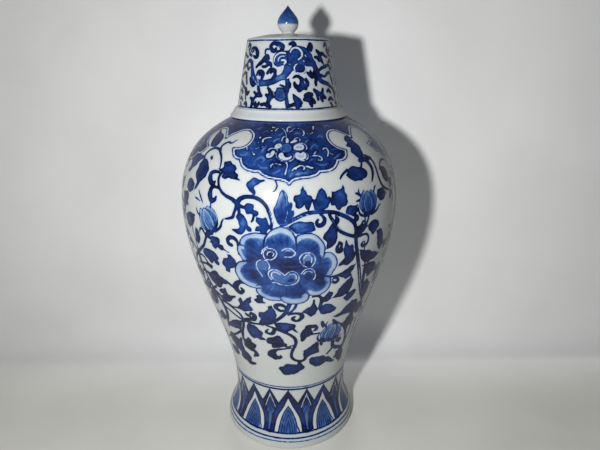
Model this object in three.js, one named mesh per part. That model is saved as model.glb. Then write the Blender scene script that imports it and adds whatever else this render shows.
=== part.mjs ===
// A lidded porcelain wine bottle with a high round shoulder, a narrow waist and a flared foot.
// The body is thrown in three sections that are luted together one on another, with a small
// rolled neck on top. A tall tapered cap drops over the neck and rests on the shoulder, and a
// tube under its roof hangs in the mouth and keeps it centred. All lengths are in millimetres,
// +Z is up, and the origin is the centre of the foot ring, on the surface that it stands on.
import * as THREE from "three";

// Driving dimensions of the bottle, from the foot up
const footBandHeight = 6;
const flareRise = 34;
const lowerRise = 60;
const middleRise = 112;
const upperRise = 21;
const shoulderRise = 86.6;
const neckHeight = 24;
const waistRadius = 55.6;
const footFlare = 6.8;
const bellySwell = 42.7;
const throatRadius = 21;
const rootWidth = 7;
const lipWidth = 8;
const wall = 6;

// Driving dimensions of the cover
const rimLedge = 2.3;
const rimFlare = 4.3;
const rimThickness = 3.5;
const capTaper = 10;
const capWall = 4;
const roofThickness = 7;
const finialRadius = 8.9;
const finialHeight = 22.8;
const finialFootRadius = 5.6;

// Clearances between the cover and the bottle
const seatGap = 0.3;
const lipClearance = 2;
const headroom = 25.8;
const tubeClearance = 1.5;

// Finishes, as seen under the clear glaze
const glazedWhite = { color: 0xdfe3e4, roughness: 0.12, metalness: 0 };
const blueAndWhite = { color: 0x9fadc6, roughness: 0.12, metalness: 0 };
const washedBlue = { color: 0x33497f, roughness: 0.12, metalness: 0 };
const bareBody = { color: 0xd9d2c4, roughness: 0.75, metalness: 0 };

// How finely the turned surfaces are faceted
const segments = 60;
const curveSteps = 8;
const insideSteps = 4;

// Heights and radii that follow from the driving dimensions
const waistHeight = footBandHeight + flareRise;
const lowerJointHeight = waistHeight + lowerRise;
const upperJointHeight = lowerJointHeight + middleRise;
const bellyHeight = upperJointHeight + upperRise;
const neckRootHeight = bellyHeight + shoulderRise;
const mouthHeight = neckRootHeight + neckHeight;
const bellyRadius = waistRadius + bellySwell;
const rootRadius = throatRadius + rootWidth;
const lipRadius = throatRadius + lipWidth;
const capTopRadius = lipRadius + lipClearance + capWall;
const capFootRadius = capTopRadius + capTaper;
const capInnerRadius = capFootRadius - capWall;
const rimRadius = capFootRadius + rimLedge + rimFlare;

const point = (radius, height) => new THREE.Vector2(radius, height);

// Eases from 0 to 1 with a level start and a level end.
const ease = (t) => t * t * (3 - 2 * t);

// A Bezier curve as a list of points.
function bend(start, pullStart, pullEnd, end, steps = curveSteps) {
  return new THREE.CubicBezierCurve(start, pullStart, pullEnd, end).getPoints(steps);
}

// A rounded corner, drawn with both pulls at the point where its two straight sides would meet.
function corner(start, tip, end) {
  return bend(start, tip, tip, end, curveSteps / 2);
}

// A solid turned about the upright axis. Its outline runs anticlockwise, with the radius as x,
// and either starts and ends on the axis or goes all the way round.
function turned(name, outline, finish) {
  const geometry = new THREE.LatheGeometry(outline, segments).rotateX(Math.PI / 2);
  const mesh = new THREE.Mesh(geometry, new THREE.MeshStandardMaterial(finish));
  mesh.name = name;
  return mesh;
}

// A turned solid whose outline is closed from its last point to its first.
function turnedRing(name, outline, finish) {
  return turned(name, [...outline, outline[0].clone()], finish);
}

// The outside of the body between the waist and the belly, as a radius for each height.
function bodyRadius(height) {
  return waistRadius + bellySwell * ease((height - waistHeight) / (bellyHeight - waistHeight));
}

// Points up the outside of the body from one height to another, set inwards by a distance.
function bodyWall(from, to, inset, steps = curveSteps) {
  return Array.from({ length: steps + 1 }, (_, i) => {
    const height = from + ((to - from) * i) / steps;
    return point(bodyRadius(height) - inset, height);
  });
}

// The shoulder closes from the upright belly wall to the root of the neck in one round sweep.
const rootSlope = THREE.MathUtils.degToRad(27.5);
const bellyPullShare = 0.71;
const rootPullShare = 0.49;
const rootPull = rootPullShare * (bellyRadius - rootRadius);
const shoulder = new THREE.CubicBezierCurve(
  point(bellyRadius, bellyHeight),
  point(bellyRadius, bellyHeight + bellyPullShare * shoulderRise),
  point(
    rootRadius + rootPull * Math.cos(rootSlope),
    neckRootHeight - rootPull * Math.sin(rootSlope),
  ),
  point(rootRadius, neckRootHeight),
);

// The place along the shoulder, from 0 to 1, where its radius has come down to the one given.
function shoulderPlace(radius) {
  const halvings = 40;
  let [low, high] = [0, 1];
  for (let count = 0; count < halvings; count++) {
    const middle = (low + high) / 2;
    if (shoulder.getPoint(middle).x > radius) low = middle;
    else high = middle;
  }
  return low;
}

// The lowest section: the flared foot with its turned ring, the sunken base and the waist.
function footSection() {
  const ringWidth = 7;
  const ringTaper = 1;
  const edgeRound = 1.6;
  const baseRecess = 6;
  const floorThickness = 8;
  const floorRound = 10;
  const bandPullShare = 0.24;
  const waistPullShare = 0.53;
  const footRadius = waistRadius + footFlare;
  const ringOuter = footRadius - edgeRound;
  const ringInner = ringOuter - ringWidth;
  const floorTop = baseRecess + floorThickness;
  const floorEdge = waistRadius - wall;
  const round = Math.min(floorRound, waistHeight - floorTop);
  return turned(
    "foot_section",
    [
      point(0, baseRecess),
      point(ringInner - ringTaper, baseRecess),
      point(ringInner, 0),
      point(ringOuter, 0),
      point(footRadius, edgeRound),
      ...bend(
        point(footRadius, footBandHeight),
        point(footRadius - edgeRound, footBandHeight + bandPullShare * flareRise),
        point(waistRadius, waistHeight - waistPullShare * flareRise),
        point(waistRadius, waistHeight),
      ),
      ...bodyWall(waistHeight, lowerJointHeight, 0).slice(1),
      ...bodyWall(waistHeight, lowerJointHeight, wall, insideSteps).reverse(),
      ...corner(
        point(floorEdge, floorTop + round),
        point(floorEdge, floorTop),
        point(floorEdge - round, floorTop),
      ),
      point(0, floorTop),
    ],
    blueAndWhite,
  );
}

// The middle section: a plain thrown tube that widens towards the belly.
function bellySection() {
  return turnedRing(
    "belly_section",
    [
      ...bodyWall(lowerJointHeight, upperJointHeight, 0),
      ...bodyWall(lowerJointHeight, upperJointHeight, wall, insideSteps).reverse(),
    ],
    blueAndWhite,
  );
}

// The top section: the widest part of the belly and the shoulder, open only at the throat.
function shoulderSection() {
  const upperSteps = 2;
  const domeSteps = 2 * insideSteps;
  const inside = Array.from({ length: domeSteps + 1 }, (_, i) => {
    const spot = shoulder.getPoint(i / domeSteps);
    const along = shoulder.getTangent(i / domeSteps);
    return point(spot.x - wall * along.y, spot.y + wall * along.x);
  }).filter((spot) => spot.x > rootRadius);
  const throatEdge = inside[inside.length - 1].y;
  return turnedRing(
    "shoulder_section",
    [
      ...bodyWall(upperJointHeight, bellyHeight, 0, upperSteps),
      ...shoulder.getPoints(2 * curveSteps).slice(1),
      point(throatRadius, neckRootHeight),
      point(throatRadius, throatEdge),
      ...inside.reverse(),
      ...bodyWall(upperJointHeight, bellyHeight, wall, upperSteps).reverse().slice(1),
    ],
    blueAndWhite,
  );
}

// The neck: a short waisted ring with a rolled lip, luted over the throat.
function neckRing() {
  const neckWall = 4;
  const lipThickness = 6;
  const lipRound = lipThickness / 2;
  const lipUnder = mouthHeight - lipThickness;
  const waist = throatRadius + neckWall;
  const waistAt = (neckRootHeight + lipUnder) / 2;
  const hollow = (waistAt - neckRootHeight) / 2;
  return turnedRing(
    "neck_ring",
    [
      point(throatRadius, neckRootHeight),
      ...bend(
        point(rootRadius, neckRootHeight),
        point(waist, neckRootHeight + hollow),
        point(waist, waistAt),
        point(waist, waistAt + hollow),
        curveSteps / 2,
      ),
      point(lipRadius - lipRound, lipUnder),
      ...bend(
        point(lipRadius, lipUnder + lipRound / 2),
        point(lipRadius, mouthHeight - lipRound / 2),
        point(lipRadius, mouthHeight),
        point(lipRadius - lipRound, mouthHeight),
        curveSteps / 2,
      ),
      point(throatRadius + lipRound / 2, mouthHeight),
      point(throatRadius, mouthHeight - lipRound),
    ],
    glazedWhite,
  );
}

// Heights that the pieces of the cover share, from the lowest edge of its rim where it seats
const shoulderHeightAt = (radius) => shoulder.getPoint(shoulderPlace(radius)).y;
const seatHeight = shoulderHeightAt(rimRadius) + seatGap;
const rimHeight = shoulderHeightAt(capInnerRadius) - shoulderHeightAt(rimRadius) + rimThickness;
const roofUnder = mouthHeight - seatHeight + headroom;
const capHeight = roofUnder + roofThickness;

// The cap: a tapered cup thrown upside down, with a gently domed roof.
function cap() {
  const roofRise = 3.6;
  const edgeRound = 1.8;
  const cornerRound = 5;
  const finialSeat = 0.9;
  const roofPullShare = 0.5;
  const edgeHeight = capHeight - roofRise;
  const roofEdge = capTopRadius - edgeRound;
  const roofPull = point(roofEdge - roofPullShare * roofEdge, capHeight);
  const innerTop = capTopRadius - capWall;
  return turnedRing(
    "cover_cap",
    [
      point(capInnerRadius, rimHeight),
      point(capFootRadius, rimHeight),
      point(capTopRadius, edgeHeight - edgeRound),
      point(capTopRadius - edgeRound / 3, edgeHeight - edgeRound / 3),
      ...corner(
        point(roofEdge, edgeHeight),
        roofPull,
        point(finialFootRadius + finialSeat, capHeight),
      ),
      point(0, capHeight),
      point(0, roofUnder),
      ...corner(
        point(innerTop - cornerRound, roofUnder),
        point(innerTop, roofUnder),
        point(innerTop, roofUnder - cornerRound),
      ),
    ],
    blueAndWhite,
  );
}

// The rim: the plain flared ring under the cap, its underside shaped to the shoulder.
function rim() {
  const lipFace = 1.2;
  const undersideSteps = curveSteps / 2;
  const outerPlace = shoulderPlace(rimRadius - lipFace);
  const innerPlace = shoulderPlace(capInnerRadius);
  const underside = Array.from({ length: undersideSteps + 1 }, (_, i) => {
    const spot = shoulder.getPoint(innerPlace + ((outerPlace - innerPlace) * i) / undersideSteps);
    return point(spot.x, spot.y + seatGap - seatHeight);
  });
  const ledgeRadius = capFootRadius + rimLedge;
  return turnedRing(
    "cover_rim",
    [
      ...underside,
      point(rimRadius, lipFace / 2),
      point(ledgeRadius, rimHeight - lipFace / 2),
      point(ledgeRadius - lipFace / 2, rimHeight),
      point(capInnerRadius, rimHeight),
    ],
    glazedWhite,
  );
}

// The tube under the roof that hangs in the mouth and centres the cover.
function centringTube() {
  const tubeWall = 3.5;
  const tubeReach = 21;
  const endChamfer = 0.8;
  const tubeOuter = throatRadius - tubeClearance;
  const tubeInner = tubeOuter - tubeWall;
  const tubeEnd = mouthHeight - tubeReach - seatHeight;
  return turnedRing(
    "cover_centring_tube",
    [
      point(tubeInner, tubeEnd),
      point(tubeOuter - endChamfer, tubeEnd),
      point(tubeOuter, tubeEnd + endChamfer),
      point(tubeOuter, roofUnder),
      point(tubeInner, roofUnder),
    ],
    bareBody,
  );
}

// The finial: a solid turned bud on a short stem, luted to the middle of the roof.
function finial() {
  const stemInset = 0.6;
  const stemHeight = 1.4;
  const budWidest = 9;
  const tipPullShare = 0.36;
  const stemRadius = finialFootRadius - stemInset;
  const bowlRise = budWidest - stemHeight;
  const flamePull = tipPullShare * (finialHeight - budWidest);
  const mesh = turned(
    "cover_finial",
    [
      point(0, 0),
      point(finialFootRadius, 0),
      ...bend(
        point(stemRadius, stemHeight),
        point((stemRadius + finialRadius) / 2, stemHeight + bowlRise / 5),
        point(finialRadius, stemHeight + bowlRise / 2),
        point(finialRadius, budWidest),
      ),
      ...bend(
        point(finialRadius, budWidest),
        point(finialRadius, budWidest + flamePull),
        point(tipPullShare * finialRadius, finialHeight - flamePull),
        point(0, finialHeight),
      ).slice(1),
    ],
    washedBlue,
  );
  mesh.position.z = capHeight;
  return mesh;
}

const bottle = new THREE.Group();
bottle.add(footSection(), bellySection(), shoulderSection(), neckRing());

const cover = new THREE.Group();
cover.position.z = seatHeight;
cover.add(cap(), rim(), centringTube(), finial());

const liddedBottle = new THREE.Group();
liddedBottle.add(bottle, cover);

export default liddedBottle;
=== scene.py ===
"""The looks of a lidded porcelain wine bottle, painted in cobalt blue under a clear glaze.

Lengths are in millimetres until a mesh is made, heights are above the foot, and angles are in
degrees round the upright axis, from the front, growing towards the right.
"""
import math

import bpy
import numpy as np
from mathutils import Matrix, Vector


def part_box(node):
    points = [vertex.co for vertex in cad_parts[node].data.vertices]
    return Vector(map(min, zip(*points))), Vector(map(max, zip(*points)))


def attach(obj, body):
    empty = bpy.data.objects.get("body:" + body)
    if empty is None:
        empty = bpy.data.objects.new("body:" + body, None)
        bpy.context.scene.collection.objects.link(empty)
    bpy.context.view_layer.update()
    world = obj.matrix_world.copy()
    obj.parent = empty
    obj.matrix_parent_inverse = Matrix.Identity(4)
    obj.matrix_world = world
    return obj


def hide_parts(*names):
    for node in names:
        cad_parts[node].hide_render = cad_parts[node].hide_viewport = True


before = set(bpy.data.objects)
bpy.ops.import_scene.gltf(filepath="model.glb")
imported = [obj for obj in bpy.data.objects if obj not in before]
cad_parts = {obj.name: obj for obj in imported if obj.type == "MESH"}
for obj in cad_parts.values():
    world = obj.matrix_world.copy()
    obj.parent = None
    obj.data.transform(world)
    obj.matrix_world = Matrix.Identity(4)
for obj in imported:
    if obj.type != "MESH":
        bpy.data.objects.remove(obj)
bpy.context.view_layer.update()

# The body. Three sections thrown in white porcelain and luted one on another with slip: the
# flared foot, the widening belly and the round shoulder. They are turned smooth as one, painted
# in cobalt across the joints, then dipped in clear glaze, all but the ring that they stand on.
MM = 1000


def measured(name):
    """The bottom, the top and the greatest radius of a turned part of model.glb."""
    low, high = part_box(name)
    return low[2] * MM, high[2] * MM, high[0] * MM


_, foot_top, foot_radius = measured("foot_section")
belly_bottom, belly_top, _ = measured("belly_section")
shoulder_bottom, _, belly_radius = measured("shoulder_section")
neck_root_height, mouth_height, lip_radius = measured("neck_ring")
rim_seat, rim_top, rim_radius = measured("cover_rim")

WALL = 6.0
FOOT_BAND = 6.0
FOOT_EDGE_ROUND = 1.6
WAIST_HEIGHT = 40.0
WAIST_RADIUS = 55.6
BELLY_HEIGHT = 233.0
NECK_ROOT_RADIUS = 28.0
NECK_ROOT_SLOPE = math.radians(27.5)
# A pull says how long a curve holds its direction at an end, as a share of its rise or run.
FLARE_LOW_PULL = 0.24
FLARE_HIGH_PULL = 0.53
BELLY_PULL = 0.71
NECK_ROOT_PULL = 0.49
CURVE_STEPS = 900


def bezier(start, pull_start, pull_end, end, count):
    """Points on a cubic Bezier curve: each is the four corners weighted by the cubic terms."""
    t = np.linspace(0, 1, count)[:, None]
    weights = [(1 - t) ** 3, 3 * t * (1 - t) ** 2, 3 * t * t * (1 - t), t**3]
    return sum(w * np.array(p, float) for w, p in zip(weights, (start, pull_start, pull_end, end)))


def lower_outline():
    """The outside from the foot's edge to the widest belly, as radius and height.

    A rounded edge and an upright band, the flare as a Bezier curve, and the long swell to the
    belly as an ease of the height that is level at both ends.
    """
    edge = bezier(
        (foot_radius - FOOT_EDGE_ROUND, 0), (foot_radius - FOOT_EDGE_ROUND / 2, 0),
        (foot_radius, FOOT_EDGE_ROUND / 2), (foot_radius, FOOT_EDGE_ROUND), 12,
    )
    rise = WAIST_HEIGHT - FOOT_BAND
    flare = bezier(
        (foot_radius, FOOT_BAND), (foot_radius - FOOT_EDGE_ROUND, FOOT_BAND + FLARE_LOW_PULL * rise),
        (WAIST_RADIUS, WAIST_HEIGHT - FLARE_HIGH_PULL * rise), (WAIST_RADIUS, WAIST_HEIGHT), 200,
    )
    height = np.linspace(WAIST_HEIGHT, BELLY_HEIGHT, CURVE_STEPS)[1:]
    share = (height - WAIST_HEIGHT) / (BELLY_HEIGHT - WAIST_HEIGHT)
    swell = WAIST_RADIUS + (belly_radius - WAIST_RADIUS) * share**2 * (3 - 2 * share)
    return np.vstack([edge, flare, np.column_stack([swell, height])])


def dome_outline():
    """The outside of the shoulder, one Bezier curve from the widest belly to the neck's root."""
    pull = NECK_ROOT_PULL * (belly_radius - NECK_ROOT_RADIUS)
    pull_radius = NECK_ROOT_RADIUS + pull * math.cos(NECK_ROOT_SLOPE)
    pull_height = neck_root_height - pull * math.sin(NECK_ROOT_SLOPE)
    belly_pull_height = BELLY_HEIGHT + BELLY_PULL * (neck_root_height - BELLY_HEIGHT)
    return bezier(
        (belly_radius, BELLY_HEIGHT), (belly_radius, belly_pull_height),
        (pull_radius, pull_height), (NECK_ROOT_RADIUS, neck_root_height), CURVE_STEPS,
    )


def height_where(outline, radius):
    """The height at which an outline that narrows upwards has a radius."""
    return np.interp(-radius, -outline[:, 0], outline[:, 1])


def spaced(outline, low, high, spacing):
    """Points spread evenly by distance along an outline between two heights."""
    part = outline[(outline[:, 1] > low) & (outline[:, 1] < high)]
    ends = [[np.interp(h, outline[:, 1], outline[:, 0]), h] for h in (low, high)]
    part = np.vstack([ends[0], part, ends[1]])
    along = np.append(0, np.cumsum(np.hypot(*np.diff(part, axis=0).T)))
    wanted = np.linspace(0, along[-1], round(along[-1] / spacing) + 1)
    return np.column_stack([np.interp(wanted, along, part[:, k]) for k in (0, 1)])


def round_angles(count, crowd=0.0):
    """Angles once round the axis, set closer together at the front by a share called crowd."""
    turn = np.linspace(-np.pi, np.pi, count, endpoint=False)
    return turn - crowd * np.sin(turn)


MAP_MARGIN = 0.006
MAP_STRIP = 0.42
SHARP_EDGE = math.radians(40)


def turned(name, outline, angles, shown):
    """Carries an outline of radius and height round the upright axis as a closed smooth mesh.

    A point is radius times the sine and the cosine of its angle. An outline that starts on the
    axis ends there too, and gets one point at each pole, and any other closes on itself. The
    shown rows are laid out as two wide strips of the map, and the rest as a thin one.
    """
    rows, columns = len(outline), len(angles)
    capped = outline[0, 0] == 0
    radius, height = outline[:, 0][:, None], outline[:, 1][:, None]
    places = np.stack(
        [radius * np.sin(angles), -radius * np.cos(angles), height + 0 * angles], axis=-1
    )
    number = np.arange(rows * columns).reshape(rows, columns)
    if capped:
        number[0] = 0
        number[-1] = number[-1, 0]
    last = rows - 1 if capped else rows
    row, column = (g.ravel() for g in np.meshgrid(range(last), range(columns), indexing="ij"))
    above, beside = (row + 1) % rows, (column + 1) % columns
    quad = np.stack(
        [number[row, column], number[row, beside], number[above, beside], number[above, column]], 1
    )
    length = np.hypot(*np.diff(np.vstack([outline, outline[:1]]), axis=0).T)[:last]
    in_strip = (np.arange(last) >= shown[0]) & (np.arange(last) < shown[1])
    along = np.zeros((last, 2))
    for part in (in_strip, ~in_strip):
        so_far = np.cumsum(length[part])
        along[part] = np.column_stack([so_far - length[part], so_far]) / so_far[-1]
    low_high = along[row][:, [0, 0, 1, 1]]
    half = columns // 2
    wide, second = in_strip[row][:, None], (column >= half)[:, None]
    across = np.stack([column, column + 1, column + 1, column], 1)
    across = np.where(wide, (across - half * second) / (columns - half), across / columns)
    strips, gap = 2 * MAP_STRIP, 2 * MAP_MARGIN
    up = np.where(
        wide,
        (low_high + second) * MAP_STRIP + gap * second,
        strips + 2 * gap + low_high * (1 - strips - 3 * gap),
    )
    flat = np.stack([MAP_MARGIN + across * (1 - gap), MAP_MARGIN + up * (1 - gap)], -1)
    keep = np.ones(quad.shape, bool)
    if capped:
        keep[row == 0, 1] = False
        keep[row == last - 1, 3] = False
    used, index = np.unique(quad[keep], return_inverse=True)
    mesh = bpy.data.meshes.new(name)
    mesh.vertices.add(len(used))
    mesh.vertices.foreach_set("co", (places.reshape(-1, 3)[used] / MM).ravel())
    mesh.loops.add(int(keep.sum()))
    mesh.loops.foreach_set("vertex_index", index.ravel().astype(np.int32))
    starts = np.append(0, np.cumsum(keep.sum(1)))[:-1]
    mesh.polygons.add(len(quad))
    mesh.polygons.foreach_set("loop_start", starts.astype(np.int32))
    mesh.update(calc_edges=True)
    mesh.uv_layers.new(name="OFBake").data.foreach_set("uv", flat[keep].ravel())
    mesh.polygons.foreach_set("use_smooth", np.ones(len(quad), bool))
    mesh.set_sharp_from_angle(angle=SHARP_EDGE)
    piece = bpy.data.objects.new(name, mesh)
    bpy.context.scene.collection.objects.link(piece)
    return piece, used


def wrapped(angle):
    """An angle brought to within half a turn of the front."""
    return (angle + np.pi) % (2 * np.pi) - np.pi


def smooth_through(points, closed, steps=5):
    """A Catmull-Rom curve through the points: each stretch leans on its neighbours.

    A point given twice makes a corner there.
    """
    ends = (points[-1:], points[:2]) if closed else (points[:1], points[-1:])
    p = np.vstack([ends[0], points, ends[1]])
    t = (np.arange(steps) / steps)[:, None, None]
    a, b, c, d = p[:-3], p[1:-2], p[2:-1], p[3:]
    bent = (2 * a - 5 * b + 4 * c - d) * t**2 + (3 * b - a - 3 * c + d) * t**3
    curve = ((2 * b + (c - a) * t + bent) / 2).transpose(1, 0, 2).reshape(-1, points.shape[1])
    return np.vstack([curve, curve[:1] if closed else points[-1:]])


FAR = 60.0
REACH = 3.0
SHARP_TURN = 0.25
LUMP_LENGTHS = (5.2, 6.0, 7.0, 8.2, 9.6, 11.0, 13.0)
LUMP_HEIGHT = 0.13


class Painting:
    """Cobalt painted on a turned surface, as numbers at each point of its grid.

    ink is the distance outside the nearest stroke and bare the distance outside the nearest
    spared line, both in millimetres, below zero within, and FAR where nothing is near. tone is
    how dark a stroke is, and wash how dense the thin wash between the outlines is, both from 0
    to 1. Places are given as angle, height and sometimes half width, from an angle called turn.
    """

    def __init__(self, angles, outline):
        self.angles, self.outline = angles, outline
        self.radius, self.height = outline.T
        self.arc = np.append(0, np.cumsum(np.hypot(*np.diff(outline, axis=0).T)))
        size = (len(outline), len(angles))
        self.ink, self.bare = np.full(size, FAR), np.full(size, FAR)
        self.tone, self.wash = np.zeros(size), np.zeros(size)
        self.turn = 0.0
        self.lumps = np.zeros(size)
        draws = np.random.default_rng(7)
        for length in LUMP_LENGTHS:
            bearing, start = draws.uniform(0, 2 * math.pi, 2)
            beats = round(self.radius.max() * 2 * math.pi / length * math.cos(bearing))
            climb = 2 * math.pi / length * math.sin(bearing)
            self.lumps += LUMP_HEIGHT * np.sin(beats * angles + climb * self.arc[:, None] + start)

    def track(self, points, width, closed):
        """Places made a smooth track of angle, distance up the surface and half width.

        A closed track keeps a corner wherever it turns by more than about 75 degrees, which is
        where the cosine of the turn is under SHARP_TURN.
        """
        p = np.array([(a, h, rest[0] if rest else width) for a, h, *rest in points], float)
        p[:, 0] = np.radians(self.turn + p[:, 0])
        p[:, 1] = np.interp(p[:, 1], self.height, self.arc)
        if closed:
            flat = p[:, :2] * [np.interp(p[:, 1].mean(), self.arc, self.radius), 1]
            come, go = flat - np.roll(flat, 1, 0), np.roll(flat, -1, 0) - flat
            sharp = (come * go).sum(1) < SHARP_TURN * np.hypot(*come.T) * np.hypot(*go.T)
            p = np.repeat(p, 1 + sharp, axis=0)
        return smooth_through(p, closed)

    def away(self, track, filled):
        """Grid points near a track, with their distance outside it along the surface.

        The distance is the least one to the track's short straight steps, less the half width
        there. Within a filled track, by the count of its edges on the right, it is below zero.
        """
        reach = REACH + track[:, 2].max()
        rows = (self.arc > track[:, 1].min() - reach) & (self.arc < track[:, 1].max() + reach)
        rows = np.flatnonzero(rows)
        middle = (track[:, 0].max() + track[:, 0].min()) / 2
        spread = (track[:, 0].max() - track[:, 0].min()) / 2 + reach / self.radius[rows].min()
        offset = wrapped(self.angles - middle)
        columns = np.flatnonzero(np.abs(offset) <= spread)
        turn = track[:, 0] - (middle + offset[columns])[:, None]
        x = (turn[None] * self.radius[rows][:, None, None]).astype(np.float32)
        y = (track[:, 1] - self.arc[rows][:, None])[:, None, :].astype(np.float32)
        y = np.broadcast_to(y, x.shape)
        dx, dy = np.diff(x), np.diff(y)
        ax, ay = x[..., :-1], y[..., :-1]
        step = np.clip(-(ax * dx + ay * dy) / np.maximum(dx * dx + dy * dy, 1e-6), 0, 1)
        distance = np.hypot(ax + step * dx, ay + step * dy)
        if filled:
            rise = np.where(dy == 0, 1e-6, dy)
            crossed = ((ay > 0) != (ay + dy > 0)) & (ax - ay * dx / rise > 0)
            distance = distance.min(-1)
            distance = np.where(crossed.sum(-1) % 2 == 1, -distance, distance)
        else:
            width = track[:-1, 2] + step * np.diff(track[:, 2])
            distance = (distance - width).min(-1)
        return np.ix_(rows, columns), distance

    def lay(self, place, away, tone):
        """Adds ink to the grid points of a place, by its distance from them."""
        over = np.clip(0.5 - away, 0, 1)
        over[away < self.ink[place]] = 1
        self.tone[place] += (tone - self.tone[place]) * over
        self.ink[place] = np.minimum(self.ink[place], away)

    def strokes(self, lines, width=0.8, tone=0.8, grow=0.0, rough=0.0):
        """Lines of the brush, or dabs of it where they grow all round and their edge is lumpy."""
        for points in lines:
            place, away = self.away(self.track(points, width, False), False)
            self.lay(place, away - grow + rough * self.lumps[place], tone)

    def leaf(self, points, tone, grow=0.0, rough=1.0):
        """A filled shape, its edge a little lumpy as a soft brush leaves it."""
        place, away = self.away(self.track(points, 0, True), True)
        self.lay(place, away - grow + rough * self.lumps[place], tone)

    def sprig(self, strokes, place, lean, size, tone=0.85):
        """A small leaf or curl: unit strokes turned by lean, scaled and set at a place."""
        angle, height = place
        row = np.searchsorted(self.height, height)
        turn = math.radians(lean)
        for points in strokes:
            x, y, width = np.array(points, float).T * size
            across = x * math.cos(turn) + y * math.sin(turn)
            up = y * math.cos(turn) - x * math.sin(turn)
            angles = math.radians(self.turn + angle) + across / self.radius[row]
            track = smooth_through(np.column_stack([angles, self.arc[row] + up, width]), False)
            self.lay(*self.away(track, False), tone)

    def petal(self, points, pale, deep, margin, soft, line=0.45, tone=0.85):
        """A petal over what is there: a thin wash that deepens inwards, and a fine outline."""
        place, away = self.away(self.track(points, 0, True), True)
        share = np.clip((-away - margin) / soft, 0, 1)
        density = pale + (deep - pale) * share * share * (3 - 2 * share)
        self.wash[place] = np.where(away < 0, density, self.wash[place])
        self.ink[place] = np.maximum(self.ink[place], -away)
        self.bare[place] = np.maximum(self.bare[place], -away)
        if line:
            self.strokes([[*points, points[0]]], line, tone)

    def spares(self, lines, width=0.55):
        """Lines left bare in ink or wash."""
        for points in lines:
            place, away = self.away(self.track(points, width, False), False)
            self.ink[place] = np.maximum(self.ink[place], -away)
            self.bare[place] = np.minimum(self.bare[place], away)

    def blank(self, points):
        """A filled shape left bare in ink or wash."""
        place, away = self.away(self.track(points, 0, True), True)
        self.ink[place] = np.maximum(self.ink[place], -away)
        self.bare[place] = np.minimum(self.bare[place], away)
        self.wash[place] = np.where(away < 0, 0, self.wash[place])

    def band(self, height, width, tone=0.85, waver=0.15):
        """A line all the way round, with the slow waver of a turning wheel."""
        turn = self.angles
        level = np.interp(height, self.height, self.arc)
        level = level + waver * (np.sin(3 * turn + height) + 0.6 * np.sin(7 * turn + 2 * height))
        away = np.abs(self.arc[:, None] - level) - width
        self.lay(np.ix_(range(len(self.arc)), range(len(turn))), away, tone)

    def offsets(self, angle, height):
        """How far each grid point lies to the right of a place, and above it."""
        across = wrapped(self.angles - math.radians(self.turn + angle)) * self.radius[:, None]
        return across, self.arc[:, None] - np.interp(height, self.height, self.arc)

    def pool(self, kind, spots):
        """Thicker or thinner paint round spots of angle, height, size and change.

        The change fades outwards from a spot as a Gaussian of the distance over its size.
        """
        numbers = getattr(self, kind)
        for angle, height, size, change in spots:
            x, y = self.offsets(angle, height)
            numbers += change * np.exp(-(x * x + y * y) / size**2) * (numbers > 0)

    def comb(self, place, change, start=12, ease=10, end=52, beats=(31, 43, 54)):
        """Streaks of the brush that spread from a place, as three sine waves of the bearing."""
        x, y = self.offsets(*place)
        bearing, far = np.arctan2(y, x), np.hypot(x, y)
        waves = sum(np.sin(count * bearing + count) for count in beats)
        on_petals = (self.wash > 0.4) * (far < end)
        self.wash += change * waves * np.clip((far - start) / ease, 0, 1) * on_petals


FOOT_SPACING = 0.98
BELLY_SPACING = 0.93
SHOULDER_SPACING = 1.0
HIDDEN_SPACING = 4.5
UNDER_RIM = 3.0
dome = dome_outline()
whole_outline = np.vstack([lower_outline(), dome[1:]])
shown_top = height_where(dome, rim_radius - UNDER_RIM)
foot_rows = spaced(whole_outline, 0, foot_top, FOOT_SPACING)
belly_rows = spaced(whole_outline, foot_top, belly_top, BELLY_SPACING)
shoulder_rows = spaced(whole_outline, belly_top, shown_top, SHOULDER_SPACING)
hidden_rows = spaced(whole_outline, shown_top, neck_root_height, HIDDEN_SPACING)
painted_rows = np.vstack([foot_rows, belly_rows[1:], shoulder_rows[1:], hidden_rows[1:]])
body = Painting(round_angles(700, crowd=0.14), painted_rows)

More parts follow.
